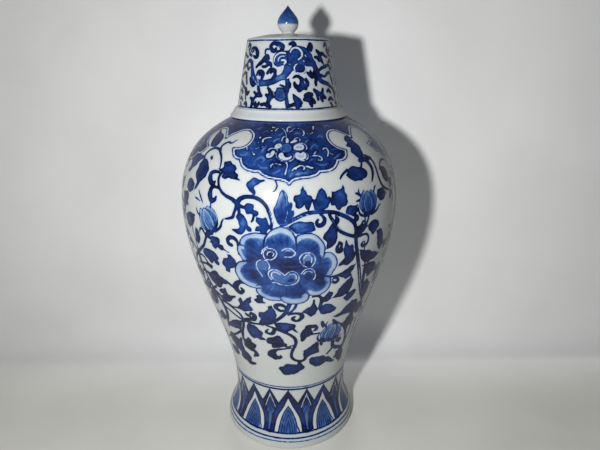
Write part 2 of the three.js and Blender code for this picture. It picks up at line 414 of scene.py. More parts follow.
# The scroll on one face of the body: a big open peony, the stems that swing round it, its
# leaves, curls and buds. Every line is one stroke of a brush loaded with cobalt, on the raw
# white body, and the same face is painted on the front and on the back.
STEMS = [
    [(-8, 235, 1), (-7.8, 240, 1.2), (-8.3, 244, 1.3), (-9.6, 250, 1.4), (-11.5, 254.5, 1.4),
     (-14.5, 257.5, 1.5), (-17, 258.3, 1.5), (-20, 258, 1.6), (-22.5, 256.3, 1.8), (-24.3, 253.3, 2),
     (-27, 255.3, 1.6), (-31, 257.5, 1.3), (-34, 261, 1.2), (-35.5, 265, 1.2), (-36, 270, 1.2),
     (-34.5, 273.5, 1), (-32, 275, 0.8)],
    [(-24.3, 253, 1.9), (-24.6, 249, 1.4), (-25.5, 245, 1.2), (-26.3, 241.5, 1.4), (-28.5, 240, 1),
     (-30.3, 239.3, 0.7)], [(-24, 252, 1.8), (-23.2, 248, 1.5), (-22.8, 244, 1.2)],
    [(-23.5, 251.5, 1.6), (-21.5, 250.3, 1.3), (-19.8, 250, 1.2)],
    [(-37, 275, 0.5), (-37.5, 280, 0.8), (-39.5, 284.5, 1), (-42.5, 288, 1.2), (-43, 291.5, 1.1),
     (-40, 294, 1), (-37, 293.5, 0.8), (-34.5, 296, 0.4)],
    [(-42, 288, 1.1), (-47, 289, 1.2), (-51, 287, 1.2), (-53, 283, 1.1), (-52, 280.5, 1)],
    [(-46.5, 282.5, 1.3), (-45.5, 281.5, 1.2)],
    [(-6.3, 270, 0.5), (-5.5, 267, 0.6), (-6.5, 263.5, 0.5), (-8, 262, 0.3)],
    [(-2.5, 238.5, 1), (0.5, 241, 1.3), (3, 243.5, 1.5), (6, 245.8, 1.6), (9, 247, 1.6), (12, 247.3, 1.5),
     (16, 247, 1.5), (20, 246, 1.5), (23, 244, 1.6), (26, 241.5, 1.6), (29, 238, 1.6), (31.5, 233, 1.7),
     (32.3, 227, 1.8), (32.5, 221, 1.8), (33.5, 213, 1.8), (35, 205, 1.8), (36.7, 197, 1.8),
     (38.3, 190, 1.8), (40.5, 181, 1.8), (43, 172, 1.7), (46.3, 163, 1.6), (50, 155, 1.4), (54, 146, 1.1),
     (59, 135, 0.8)],
    [(17.5, 246.5, 1.1), (18.7, 242, 1.3), (20.5, 237.5, 1.5), (22, 233, 1.5), (24.5, 229, 1.4),
     (28, 226, 1.4), (31.5, 223.7, 1.5), (35, 223, 1.2), (38, 223.4, 1), (40, 221.8, 1), (41, 218, 1.1),
     (40.2, 214.3, 1.3), (37.7, 213, 1.4), (36.4, 215, 1.1), (37.3, 217, 0.7)],
    [(37.5, 239, 0.7), (37.6, 232, 0.8)],
    [(40.3, 240, 0.9), (39.6, 235.5, 1), (38.3, 231, 1.2), (36, 228, 1.6)],
    [(43, 283, 0.9), (41, 279, 1), (39.5, 276, 1)],
    [(40.2, 280.5, 1.8), (43, 281, 2.3), (46.4, 280.5, 1.5), (50, 281, 1)],
    [(42.3, 281.5, 1.8), (45.4, 279, 1.8), (47.2, 274.5, 1.8), (46.6, 269.5, 1.6), (44.4, 264, 0.6)],
    [(45.5, 283.5, 1), (48.6, 281.5, 1.1), (50.6, 277, 1.2), (50.7, 271, 1.2), (50.9, 265, 1.2),
     (52.5, 258.9, 1.2), (56, 255, 1), (61, 252, 0.5)],
    [(54, 271, 0.7), (57.5, 276, 0.9), (62.5, 277, 0.9), (67, 273.7, 0.8), (69, 268, 0.7)],
    [(25, 270, 0.7), (26.5, 272.5, 0.9), (30, 275.5, 1.1)],
    [(0, 168, 1.9), (-0.9, 163, 1.9), (-2.2, 158, 1.8), (-4.2, 153.5, 1.7), (-7, 149.5, 1.7),
     (-10, 146, 1.7), (-13.5, 143.3, 1.6), (-18, 141.3, 1.5), (-23, 140.7, 1.5), (-28, 141.5, 1.5),
     (-31, 141, 1.7), (-33, 135, 2.2), (-35, 128, 1.9), (-36.3, 121, 1.5), (-37.2, 116, 1)],
    [(3.5, 167, 1.1), (2.8, 162.5, 1.2), (1, 158.8, 1.1), (-1, 156.3, 0.9)],
    [(-31, 142, 1.3), (-31.8, 147, 1.3), (-34, 150.5, 1.2), (-37.5, 153.5, 1.2), (-41.5, 156, 1.3),
     (-46, 157.5, 1.3), (-50, 161, 1.2), (-55, 169, 1.2)],
    [(-33, 142.5, 1.1), (-36, 144.5, 1.1), (-39, 147, 1.2), (-42, 149.5, 1.2), (-46, 152.5, 1.2)],
    [(-34, 131, 1.1), (-37.5, 125.3, 1.2), (-42, 120.5, 1.2), (-47, 116.5, 1.1), (-53, 112.5, 0.9),
     (-60, 106, 0.6)],
    [(-39.5, 116, 1.2), (-41, 111, 1.9), (-42.5, 106, 2.1), (-44.5, 101, 1.6), (-46, 97, 0.8)],
    [(-15, 140.7, 0.9), (-11, 139, 1.1), (-7.5, 136.5, 1.3), (-3.8, 134, 1.4), (0, 131, 1.5),
     (2.8, 127, 1.5), (4, 122, 1.5), (3.3, 117, 1.4), (1.8, 112, 1.4), (0.9, 107, 1.4), (1.2, 102.5, 1.4),
     (4, 99, 1.4), (7.5, 97.6, 1.4), (10.5, 98, 1.5), (12, 101, 1.6), (12.5, 104, 1.3)],
    [(7, 97.5, 1), (6.8, 95, 1.2)], [(-3.5, 116.3, 0.9), (-1, 116.2, 1), (1.8, 117.8, 0.8)],
    [(-9, 112.5, 1.3), (-5, 113.5, 1.1), (0.5, 114.5, 0.7)],
    [(-42.5, 226, 0.9), (-43.3, 221, 1.2), (-44.6, 217, 1.3), (-46.6, 211.5, 1.3), (-49.7, 207, 1.4),
     (-54, 201.5, 1.5), (-58, 196.5, 1.4), (-61, 189, 1.3), (-61, 179, 1.2), (-57, 168, 1.1), (-50, 157, 1)],
    [(-48.8, 221.5, 0.6), (-48, 225, 1), (-46.3, 225.6, 1), (-45, 224, 0.9), (-44.2, 220.5, 0.8)],
    [(-67.4, 221, 0.7), (-62.4, 213, 0.9), (-58.5, 207, 1), (-54.5, 201.5, 1.2)],
    [(-56.5, 224, 0.6), (-54.6, 212, 0.7), (-53.8, 202, 0.9)],
    [(-55, 199, 0.7), (-54.5, 191, 0.9), (-51.5, 184.5, 1), (-47.5, 179, 0.8)],
    [(-60.5, 192, 0.7), (-60.2, 177, 0.8), (-59.5, 162, 0.8), (-57, 150, 0.8)],
    [(-44.6, 247.5, 0.3), (-47, 252.5, 0.9), (-49, 257, 0.4)],
    [(-46.8, 248.5, 0.3), (-50, 249.8, 0.8), (-52, 250.5, 0.3)],
    [(-46, 171, 1.2), (-50, 167, 1.6), (-55, 159, 2), (-60, 150, 1.8)],
    [(-52, 176, 1), (-56, 170, 1.3), (-58, 162, 0.8)],
    [(-54, 198.5, 0.6), (-51.5, 200, 0.9), (-49, 198.8, 1), (-47.3, 195.5, 1.1), (-45.5, 192, 1.4)],
    [(-57, 190, 0.6), (-53, 191.5, 1), (-49, 192.5, 1.1), (-46.5, 192, 1.2)],
    [(-56, 183, 1), (-52, 183.5, 1.4), (-48.5, 183, 1.6)],
    [(-33.2, 213.8, 0.9), (-31.5, 212, 0.6), (-29.8, 211, 0.4)],
    [(-34.5, 181, 1.3), (-32.8, 179.3, 1.5), (-31, 177.5, 1.4)],
    [(-51, 166, 1.1), (-47, 164.3, 1.5), (-43.5, 161.5, 1.3)],
    [(-32, 155.5, 0.9), (-36, 154.5, 0.9), (-40, 156.5, 0.8), (-44, 157.5, 0.6)],
    [(28.3, 142, 1.2), (31, 137.6, 1.8), (35.5, 133.5, 1.5), (39, 130.5, 1.3), (42.5, 125, 1.5),
     (45.5, 118, 1.5), (47.5, 110, 1.4), (48, 103, 1.1)],
    [(33, 119, 1.8), (33.6, 112, 2), (35.5, 107, 2), (39.5, 103.8, 2.2), (43.5, 102, 2), (47, 101.5, 1.2)],
    [(31, 100, 1.2), (33, 102.3, 1.3), (35.5, 106.3, 1.2)],
    [(36.5, 113, 1.2), (39, 114.8, 1.4), (41.5, 112, 1.2)],
    [(12, 172.7, 0.8), (14.5, 173, 1), (16.6, 171.3, 1.3), (17.5, 167.3, 1.8), (17.2, 162.5, 1.6),
     (17, 158.5, 1.2)], [(19.8, 190.5, 0.6), (22.5, 190.8, 1), (26, 191, 1.4)],
    [(10.5, 130.5, 1.1), (15, 129.8, 1.1), (20, 129.6, 1)],
    [(22, 124, 1), (22.6, 118.5, 1.5), (23.6, 114, 1.2)], [(20.3, 143, 1.2), (21, 140, 1.8), (22, 137, 1.6)],
    [(41.9, 190.4, 0.9), (42.8, 182.4, 0.9), (44.2, 174, 0.8)],
    [(38.2, 217, 0.6), (39.8, 204, 0.6), (43, 188.4, 0.7), (45.8, 172, 0.7)],
    [(39.5, 158, 1), (43.3, 146, 1.1), (47.8, 132, 1), (50.4, 118, 1.1), (49.5, 108, 1.1), (48.5, 98, 0.9)],
    [(54.2, 129.8, 0.9), (57, 116, 1), (58.5, 103, 1)], [(32.5, 258, 0.8), (34.8, 256, 1.2)],
    [(32.5, 251.7, 0.7), (35, 252.5, 0.9)],
    [(-53.6, 197, 0.9), (-53.4, 188, 1.3), (-52.2, 178, 1.4), (-50.6, 170, 1.6), (-48, 162, 1.9),
     (-45.8, 154, 2.1), (-44.6, 146, 2.1), (-46, 138, 1.8), (-48.4, 131, 1.3), (-50, 124, 0.8)],
]
CURLS = [
    [(-35.5, 272.5, 0.8), (-38.8, 273.2, 1.1), (-41.8, 271.4, 1.8), (-41.8, 267.8, 2.1), (-40.6, 265, 2),
     (-39, 264.3, 1.4), (-38, 266, 0.8)],
    [(-34.7, 261.6, 0.8), (-38, 262.2, 1.1), (-40, 259.4, 1.9), (-40, 255, 2.3), (-38.8, 251.8, 2.1),
     (-36.8, 252.6, 1.3), (-36, 255, 0.7)],
    [(-24.3, 211, 0.3), (-24, 217, 0.8), (-24.5, 222, 1.2), (-27, 225, 1.5), (-29.3, 223, 1.5),
     (-29.3, 219.5, 1.5), (-27.7, 218.5, 1.3)],
    [(-23, 184.3, 0.6), (-26, 184.8, 1.5), (-28.3, 182.5, 2.2), (-29.6, 179, 2.5), (-29.3, 175.8, 2.4),
     (-28, 173.4, 2), (-26.2, 174.2, 1.5), (-25.4, 176.5, 1.2), (-26.2, 178.6, 0.8)],
    [(-2, 160.5, 0.8), (-2.8, 163.5, 1), (-5, 165.3, 1.6), (-7.2, 165, 1.7), (-7.8, 162.5, 1.6),
     (-6.5, 160.3, 1.3), (-5, 158.8, 1), (-4, 159.3, 0.8)],
    [(-1, 154.5, 0.6), (1, 156, 1), (4, 156, 1.1), (6.5, 154.5, 1.4), (7, 151, 1.8), (5.5, 148.3, 1.4),
     (3.5, 147.3, 1.2), (1.8, 149, 1.2), (1.5, 151, 0.9), (2.8, 152.2, 0.7)],
    [(23, 221.5, 0.5), (24.6, 219, 0.9), (24.5, 216, 1.2), (24.6, 213.5, 1.6), (23, 213.5, 1.6),
     (22.2, 216, 1.3), (22.8, 219, 0.7)],
    [(13.5, 245.5, 0.5), (15, 243.5, 0.9), (15.8, 240.5, 1.3), (14.8, 237.5, 1.6), (12.8, 237, 1.4),
     (12, 239.5, 1), (12.6, 241.3, 0.7)],
    [(9, 123.5, 0.7), (8, 129, 1.4), (9.5, 135, 2), (13, 138.8, 2), (16.5, 138.5, 1.6), (17.2, 135, 1.2),
     (15.7, 134, 0.8)],
    [(-11, 138.5, 0.7), (-10.3, 135.5, 1.3), (-11.5, 132, 1.6), (-14, 131.3, 1.2), (-15.7, 132.5, 1.1),
     (-15.5, 134.5, 0.8), (-14.3, 136.5, 0.6)],
    [(-24.5, 151, 0.9), (-23.5, 152.6, 1.2), (-22, 151.3, 1.7), (-21.7, 148.5, 2), (-22.8, 146.2, 2.2),
     (-25.5, 144.8, 1.7), (-29, 143.5, 1.3)], [(-26.3, 149.3, 1.3), (-27.4, 150.4, 1.2)],
    [(-25.8, 148.7, 0.6), (-24, 147.5, 0.5)],
    [(21.8, 187.8, 0.5), (22.8, 188.6, 0.6), (24.5, 188, 0.9), (25.3, 186, 1.1), (24.3, 184.3, 1.2),
     (22.8, 184.7, 1), (22.3, 186.3, 0.6)], [(-15.8, 244.5, 0.6), (-16.3, 241.5, 0.5), (-17, 239.5, 0.4)],
    [(19, 118, 1.1), (20.5, 112, 1), (22, 105.5, 0.4)],
]
# Each leaf has its darkness and the points round it.
LEAVES = [
    (0.78, [(-59, 300), (-50, 297.5), (-47, 294.5), (-47.5, 291.5), (-50, 290), (-54, 290), (-57, 294)]),
    (0.8, [(-70, 281), (-63, 282.1), (-57, 282.6), (-53, 281), (-55.8, 278.3), (-58, 274), (-61.5, 270.5),
     (-64.4, 274), (-67, 277.5)]),
    (0.8, [(-51.5, 280), (-47.5, 278.5), (-45, 273.9), (-45.4, 269), (-49, 263.7), (-51, 258.5),
     (-53, 256.5), (-53, 256.5), (-52, 263), (-54.2, 267), (-54.4, 272.5), (-53.5, 277)]),
    (0.88, [(-37.5, 275), (-34.5, 277), (-34.8, 280.5), (-32, 281.5), (-30.5, 279.5), (-28, 279.2),
     (-27, 277), (-27.8, 275), (-25.5, 273), (-26, 270.6), (-23.8, 269.6), (-28, 270), (-30, 271),
     (-32, 269.3), (-34, 270.5), (-33.5, 273)]),
    (0.74, [(-19.8, 267), (-18.5, 270), (-17, 272), (-15.5, 271.8), (-14.2, 270.5), (-12, 270.3),
     (-13.5, 269), (-15, 267.5), (-16.5, 265), (-15.8, 262), (-15.5, 260.3), (-17, 261), (-18.5, 263),
     (-19.5, 265)]),
    (0.72, [(-23.5, 245), (-21.5, 244.5), (-19.8, 241), (-19, 237), (-17.3, 235), (-17.3, 232.5),
     (-18.5, 232.5), (-20, 234.5), (-20.5, 232), (-22.5, 229), (-25, 230), (-27, 231.5), (-26, 232.5),
     (-23.8, 232.5), (-22.8, 235), (-23, 239), (-24, 242)]),
    (0.72, [(-20, 251.5), (-18.5, 253), (-16.5, 252.5), (-16, 250.5), (-16, 248.8), (-14.3, 247.8),
     (-14, 246), (-15.5, 244.3), (-17, 246), (-19, 246), (-20, 248.5)]),
    (0.72, [(-14.5, 243), (-12, 242.3), (-10.5, 243), (-9.5, 240), (-9, 236.5), (-10, 233), (-10.5, 230),
     (-12.5, 230.5), (-13, 233), (-14.8, 233.5), (-14.8, 236), (-13, 236.8), (-14.3, 239.5)]),
    (0.8, [(-64, 231), (-57.4, 235.8), (-52.6, 235), (-53, 230.2), (-56, 223.5), (-58.5, 226.1),
     (-61.3, 227.4)]),
    (0.8, [(-52, 223.8), (-49.9, 222), (-49.4, 216), (-52, 209.8), (-53.5, 213.1), (-53.4, 218.6)]),
    (0.86, [(-67, 249.5), (-60.4, 251.3), (-59.1, 247.5), (-62, 241), (-65, 235), (-67.5, 240),
     (-66.5, 245)]),
    (0.88, [(6.2, 266), (5.5, 264), (5.2, 261.5), (3.8, 260.3), (2.3, 259.8), (2, 257.5), (2.8, 255),
     (3, 252), (4.5, 251), (6, 252.2), (6.2, 254), (7, 253.5), (7.3, 250), (8.5, 248.8), (9.3, 251.5),
     (9.5, 254.5), (10.3, 256.5), (9.8, 259), (8.3, 259.8), (7.8, 261.5), (7.5, 263), (6.7, 264.2)]),
    (0.8, [(15, 264.5), (13.3, 262), (12.5, 259), (12.2, 256.5), (10.8, 256.5), (10.8, 253), (10.8, 250),
     (12, 249), (15, 249), (17, 250.5), (18, 253), (18.6, 256), (18.3, 257.8), (17, 257), (16.9, 260),
     (16.3, 262.8)]),
    (0.84, [(25.8, 265.5), (25, 263), (23, 261.5), (21.5, 261), (20, 261), (19.7, 258), (19, 255.5),
     (19.3, 252), (21, 251.5), (21.5, 248.5), (23, 247.5), (24.5, 249), (26.5, 250), (27.5, 252.5),
     (26.8, 255), (27, 258), (26.3, 261.5)]),
    (0.9, [(29.1, 272), (31.2, 275.9), (34.2, 277.4), (37.1, 275.9), (39.8, 275.4), (42, 272.5),
     (41.7, 269.3), (37.7, 267.2), (33.9, 267.3), (30.9, 268.8)]),
    (0.88, [(39.9, 297.5), (42.6, 297.6), (43.8, 294.3), (45.4, 291), (45.5, 287.3), (44.3, 283.3),
     (41, 282.6), (39, 284.2), (37.4, 287.7), (38.4, 289.9), (36.8, 291.4), (38.6, 293.4), (37.6, 295.4)]),
    (0.76, [(-0.5, 236.5), (1.5, 239), (4, 240.3), (7, 240), (10, 239.5), (10.8, 237), (11.5, 233.5),
     (9, 232.5), (6, 232), (3.5, 231.5), (2, 233.5)]),
    (0.86, [(20, 238), (18.5, 235.5), (17, 232), (15.8, 228.5), (15.5, 226), (17, 222.5), (17.3, 219.5),
     (17.2, 217), (19.5, 218.8), (21, 221), (22, 224), (22, 228), (21.3, 232), (20.8, 235.5)]),
    (0.9, [(27, 248), (28.5, 249.5), (31, 248.5), (33, 249), (32, 246.5), (33.5, 244.5), (31.5, 242.5),
     (33.2, 240), (33, 237), (31, 236), (30, 237.5), (31, 240), (29.5, 241.5), (28, 243), (26.5, 244.5)]),
    (0.9, [(21, 242), (22.5, 240.5), (22.5, 236.5), (20.5, 235)]),
    (0.92, [(33, 231), (35, 233), (36, 236), (37, 235), (36, 232), (38, 230.5), (39.5, 230), (38, 228.5),
     (37, 226), (34, 225), (32.5, 227)]),
    (0.88, [(40, 229), (42, 232), (45, 232.5), (47.5, 230.5), (48.5, 227.5), (47, 225), (44.5, 221.5),
     (42, 224), (40.5, 226.5)]),
    (0.86, [(27, 221.5), (26.2, 216), (26.3, 211), (27, 206), (25, 202), (24.2, 199.5), (26.5, 200),
     (28.5, 199.5), (31, 200.5), (32.5, 203), (33, 207), (32, 211), (31.5, 214), (30.5, 217), (29, 216),
     (28, 218)]),
    (0.88, [(36, 210), (38.5, 208.5), (42, 207), (46, 204), (50, 201.5), (53, 200), (51, 197.5),
     (47.5, 196.5), (44, 195.8), (41.5, 196.5), (39.5, 199), (37.5, 203)]),
    (0.88, [(40.6, 193.4), (45.5, 193.8), (50.7, 191.8), (54, 186), (51.6, 182), (47, 180), (45.4, 183.6),
     (42.2, 186), (44, 188.6)]),
    (0.86, [(25.5, 192), (28, 194), (30.5, 196), (32, 197.5), (34.5, 197.5), (33.5, 194), (32.5, 191),
     (33, 188), (30.5, 186), (28.5, 187.5), (26, 189)]),
    (0.9, [(24, 168.5), (26, 172), (27, 176), (29, 180), (31.5, 184), (33.5, 186), (35, 183), (35.5, 178),
     (35, 173), (33, 170), (30, 168), (27, 168.3)]),
    (0.9, [(33, 170), (35, 169), (38, 170.5), (40, 168), (39, 164.5), (37, 161.5), (34.5, 160.8),
     (32.5, 163), (31.7, 165.5), (33.5, 166.5)]),
    (0.88, [(19.5, 172), (21, 176), (23, 174), (23.3, 170.5), (22, 167), (19.5, 166), (17.5, 166.5),
     (18, 170)]),
    (0.84, [(17.5, 155.5), (17.3, 159), (19, 162.3), (22, 162.3), (25.5, 159.5), (27.5, 156), (27, 153),
     (24.5, 152), (21, 152.2), (18.5, 153.3)]),
    (0.88, [(14.5, 162.5), (13, 168.5), (11.8, 163), (8.7, 160.5), (7.4, 157), (10, 155), (12.5, 151.2),
     (14.6, 153.5), (15.3, 158.5)]),
    (0.9, [(28, 146.5), (31, 147.5), (33.5, 150), (36.5, 155), (41, 158), (44, 157), (45.5, 153), (45, 148),
     (43, 144.5), (39, 144.5), (35, 145), (31, 144.5)]),
    (0.9, [(40, 138), (43, 138.5), (47, 136), (50.5, 131), (49, 127), (45, 125.5), (42, 128), (40, 132)]),
    (0.92, [(40, 90), (42, 95), (44, 101), (46.5, 103), (48, 98), (47, 92), (44, 89)]),
    (0.88, [(15.2, 98.5), (18, 100), (22, 99.8), (27, 98.5), (30, 96.5), (33, 95), (35.5, 92), (38.5, 89.5),
     (41, 86.5), (38, 86), (34.5, 88), (32, 90), (29.5, 88.5), (26, 87.3), (22, 87.5), (18.5, 90.5),
     (16.2, 94.5)]),
    (0.9, [(10, 109), (12, 111), (15, 114.5), (18, 117.5), (20, 117.5), (20.8, 114), (21, 110), (21.5, 106),
     (19, 104.8), (16, 104), (13.5, 101.5), (11, 99)]),
    (0.9, [(-43, 221.5), (-40.5, 221), (-38, 222), (-35.5, 221.5), (-34.5, 219), (-35, 216.5), (-33, 215.5),
     (-33, 213), (-34.5, 212), (-36.5, 213.5), (-38, 211.8), (-39.5, 213), (-40, 215.5), (-41.2, 216.3),
     (-39.5, 217.3), (-40.5, 219), (-42, 220)]),
    (0.82, [(-48.5, 204), (-46.5, 208), (-43.5, 208.8), (-40, 207.8), (-37.8, 205), (-37.3, 202.5),
     (-38.5, 201), (-37.5, 198.5), (-38.5, 196), (-40.2, 197.3), (-41, 199.3), (-43, 196.5), (-44.5, 197),
     (-46.5, 200), (-48, 202)]),
    (0.92, [(-47.5, 193.5), (-45.5, 194), (-43.5, 193), (-44, 190.5), (-46, 190.5)]),
    (0.84, [(-31, 209), (-29, 209), (-27.5, 206), (-26.5, 203), (-26.8, 199.5), (-29, 197.5), (-30.5, 196),
     (-31.5, 192.5), (-33.3, 193.5), (-33.5, 196), (-34.8, 198.5), (-34.3, 201.5), (-33, 204.5),
     (-31, 206)]),
    (0.84, [(-50, 180), (-47.5, 184), (-44, 187.5), (-41, 188), (-39.5, 185), (-37, 183.5), (-34.8, 183),
     (-34.8, 180.5), (-36.5, 178.5), (-38.5, 178.5), (-40, 175), (-42, 172.3), (-44.5, 172), (-46, 174),
     (-48, 176)]),
    (0.9, [(-38, 173), (-39.5, 172), (-42, 170.5), (-44, 168), (-43, 166.5), (-41, 166.5), (-42, 164),
     (-45, 161.5), (-43.5, 159), (-40.5, 158), (-38, 159), (-36, 161.5), (-34.8, 164.5), (-33, 166.3),
     (-31.8, 167.8), (-35, 167), (-37.3, 167.5)]),
    (0.8, [(-21.8, 170), (-22, 166), (-23.5, 163.5), (-23.2, 160), (-22, 157.5), (-23, 155.5),
     (-25.5, 154.5), (-28, 153.3), (-30, 154), (-32.5, 155), (-31, 157.5), (-30, 160), (-30, 164.5),
     (-28.5, 167), (-27.5, 164), (-27, 163), (-25.5, 166), (-24, 168)]),
    (0.9, [(-16.5, 174), (-15, 174.5), (-14.5, 171), (-15, 168), (-14, 166.5), (-17, 165.8), (-19.3, 168),
     (-19.5, 169.5), (-17.8, 170.5), (-17.5, 173)]),
    (0.8, [(-10.5, 163.5), (-9, 160), (-8.8, 156), (-8, 153.5), (-9, 150), (-10.5, 147.5), (-9.8, 144.5),
     (-12, 143), (-16, 141.5), (-20, 141), (-19, 143.5), (-18, 148), (-18.3, 151.5), (-18, 155),
     (-16, 155.5), (-14, 157), (-12.5, 160), (-11.8, 162.5)]),
    (0.86, [(-9.5, 144), (-7, 145), (-4, 145.3), (-1, 145), (2, 143.3), (3.3, 141), (2.5, 138.5), (3.8, 136),
     (4.7, 133.8), (3.5, 134.5), (1.5, 136.8), (0, 136.3), (-1.5, 134.5), (-3.5, 134.8), (-6, 137),
     (-8.5, 139.5)]),
    (0.86, [(-16.5, 121.5), (-16, 124), (-14.5, 126), (-11.5, 126.5), (-10, 128.5), (-8, 129.3), (-6, 127),
     (-5, 124), (-4.2, 121), (-3, 119.8), (-3, 118), (-4.5, 117), (-6.5, 116), (-9, 115), (-11, 114.3),
     (-13, 115), (-13, 118), (-14.5, 118.8), (-16, 119.5)]),
    (0.86, [(-4.5, 114), (-8, 113), (-12, 112.3), (-15, 110.5), (-17, 107.5), (-17.3, 104.5), (-16, 101.8),
     (-13.5, 100.3), (-10.5, 100), (-8, 101.2), (-6.7, 103.3), (-7.5, 105), (-9, 104), (-10.5, 105),
     (-11, 107.5), (-10, 110.5), (-7, 112.3)]),
    (0.9, [(-9.2, 87), (-8.5, 90), (-6, 90.3), (-4.5, 92.5), (-3, 94), (1, 93.5), (5, 93), (6.5, 95.5),
     (8, 97), (9, 94.5), (10, 92), (11.3, 89), (11, 86.5), (8, 84.5), (5, 82), (2, 81.3), (-2, 80.7),
     (-4.5, 80.8), (-6.5, 83), (-8, 84.5)]),
    (0.84, [(-29.5, 128), (-30, 132), (-29, 136.5), (-27.5, 138.8), (-24, 138), (-21.5, 135.5),
     (-19.3, 132.5), (-19, 129), (-20, 126), (-18.5, 124.5), (-17.3, 123), (-20.5, 122), (-23.5, 123.5),
     (-26, 122.3), (-28, 123.5)]),
    (0.86, [(-31, 140), (-36, 139), (-41, 136.5), (-45, 133), (-48, 129.5), (-50, 126), (-46, 127),
     (-42, 127.5), (-38, 128.5), (-35, 129.5), (-32, 133)]),
    (0.86, [(-38, 108.5), (-37, 113), (-36.5, 117.5), (-34.5, 116.5), (-33, 119), (-31.3, 121), (-29.8, 119),
     (-29.5, 116.5), (-27.5, 114.8), (-26.5, 112.5), (-27.3, 110), (-28.3, 107.5), (-26.8, 104.5),
     (-26, 101.5), (-27, 99.3), (-30.5, 97.3), (-30.8, 98.5), (-29.3, 101), (-30, 104), (-33, 104.5),
     (-36, 106.5)]),
    (0.88, [(-46, 92), (-44.5, 96.5), (-42, 99.5), (-40, 101), (-37, 98.5), (-35, 96), (-34.5, 93),
     (-35.5, 90.5), (-33, 89), (-31.3, 88.5), (-32.5, 86.5), (-36, 85.3), (-38.5, 85.7), (-40, 87.5),
     (-43.5, 88), (-45, 90)]),
    (0.84, [(-60, 96), (-55, 98.5), (-50, 96.5), (-50.5, 91), (-56, 88.5), (-61, 91)]),
    (0.86, [(-50, 117.5), (-45, 115), (-41.6, 111), (-40, 104), (-41, 98), (-45, 97), (-50, 99), (-54, 106),
     (-54, 112)]), (0.86, [(-61, 262), (-57, 263), (-54, 260), (-55, 255), (-59, 253), (-62, 256)]),
    (0.88, [(7.6, 124), (7.3, 128), (7.8, 133), (9.5, 137), (10, 140.4), (12.5, 141.3), (14, 139.5),
     (13.6, 136), (14.4, 133), (15, 131), (13, 128.5), (10.5, 126.5), (9.8, 123.3), (8.3, 122.3)]),
    (0.84, [(30.5, 133), (33, 133), (36, 130), (38.3, 126), (38, 121), (35.5, 117.5), (33, 119), (32, 123),
     (31, 127)]), (0.88, [(37.5, 112), (38, 115.5), (41, 114.8), (42.5, 111.5), (40, 109)]),
    (0.86, [(45, 150), (48, 152), (52, 148), (54, 142), (52, 138), (48, 140), (46, 145)]),
    (0.88, [(48, 256), (51.8, 256.2), (55.5, 252), (53, 248.8), (49.5, 248), (47, 251.8)]),
    (0.86, [(55.5, 272.8), (60, 270.5), (61.5, 264.7), (58.9, 260), (55.6, 263), (54.6, 267.9)]),
    (0.88, [(47.5, 222), (51, 222.5), (53.5, 216), (55.4, 209), (53.6, 203), (50.4, 207), (48.9, 214)]),
    (0.88, [(44.6, 172.1), (47.7, 176.1), (53, 169.5), (54, 161.4), (52, 154), (49.5, 158.1),
     (45.6, 164.1)]), (0.88, [(56, 185), (59, 187), (63, 181), (63, 170), (60, 164), (57, 172)]),
    (0.88, [(62, 214), (66, 216), (68, 208), (65, 200), (62, 206)]),
    (0.88, [(39.5, 133.9), (41.8, 140.5), (44.5, 145), (47.5, 137.5), (47.7, 129.5), (45.4, 122.6),
     (42.3, 126)]), (0.88, [(41.7, 97), (46.4, 98.8), (51, 93), (53, 84), (49.4, 81.5), (43.4, 88.5)]),
    (0.8, [(-50.6, 161), (-54, 158.6), (-59, 154), (-62.5, 148), (-58, 146), (-53, 148.6), (-50.4, 154)]),
    (0.8, [(-51.6, 172), (-56, 170.4), (-61, 167.4), (-66, 163), (-60, 162.6), (-54, 165)]),
    (0.8, [(-50, 142), (-53.4, 140), (-57, 134), (-54.6, 130), (-50.6, 132), (-48, 137)]),
    (0.8, [(-58, 185), (-63, 183), (-68, 178), (-63, 176.5), (-58, 179)]),
]
# Spots where the paint lies thinner, and wide ones where all of it lies thicker.
BRIGHT_SPOTS = (
    (-17.8, 250, 4.5), (-12.5, 240.5, 4), (-21.2, 238, 5), (-27, 223.5, 4), (-42.5, 204, 7), (-30, 202.5, 5),
    (-25.5, 161, 6), (-12, 154, 7), (6.5, 262, 4), (14.8, 259, 5), (4, 238, 6), (20, 229, 4), (29.5, 212, 6),
    (24, 258, 4), (-24.5, 131, 5), (-8, 124, 4), (0.5, 88, 6), (22, 94, 6), (-18, 268, 4), (22, 158, 5),
    (-3, 141.5, 4), (-5, 248, 5), (0, 160, 6), (-39, 219, 3), (12, 247, 5), (26, 243, 5),
)
BRIGHTER = -0.14
DENSE_SPOTS = ((-30, 110, 60, 0.07), (20, 90, 70, 0.07), (60, 200, 60, 0.05), (-50, 190, 40, 0.05))

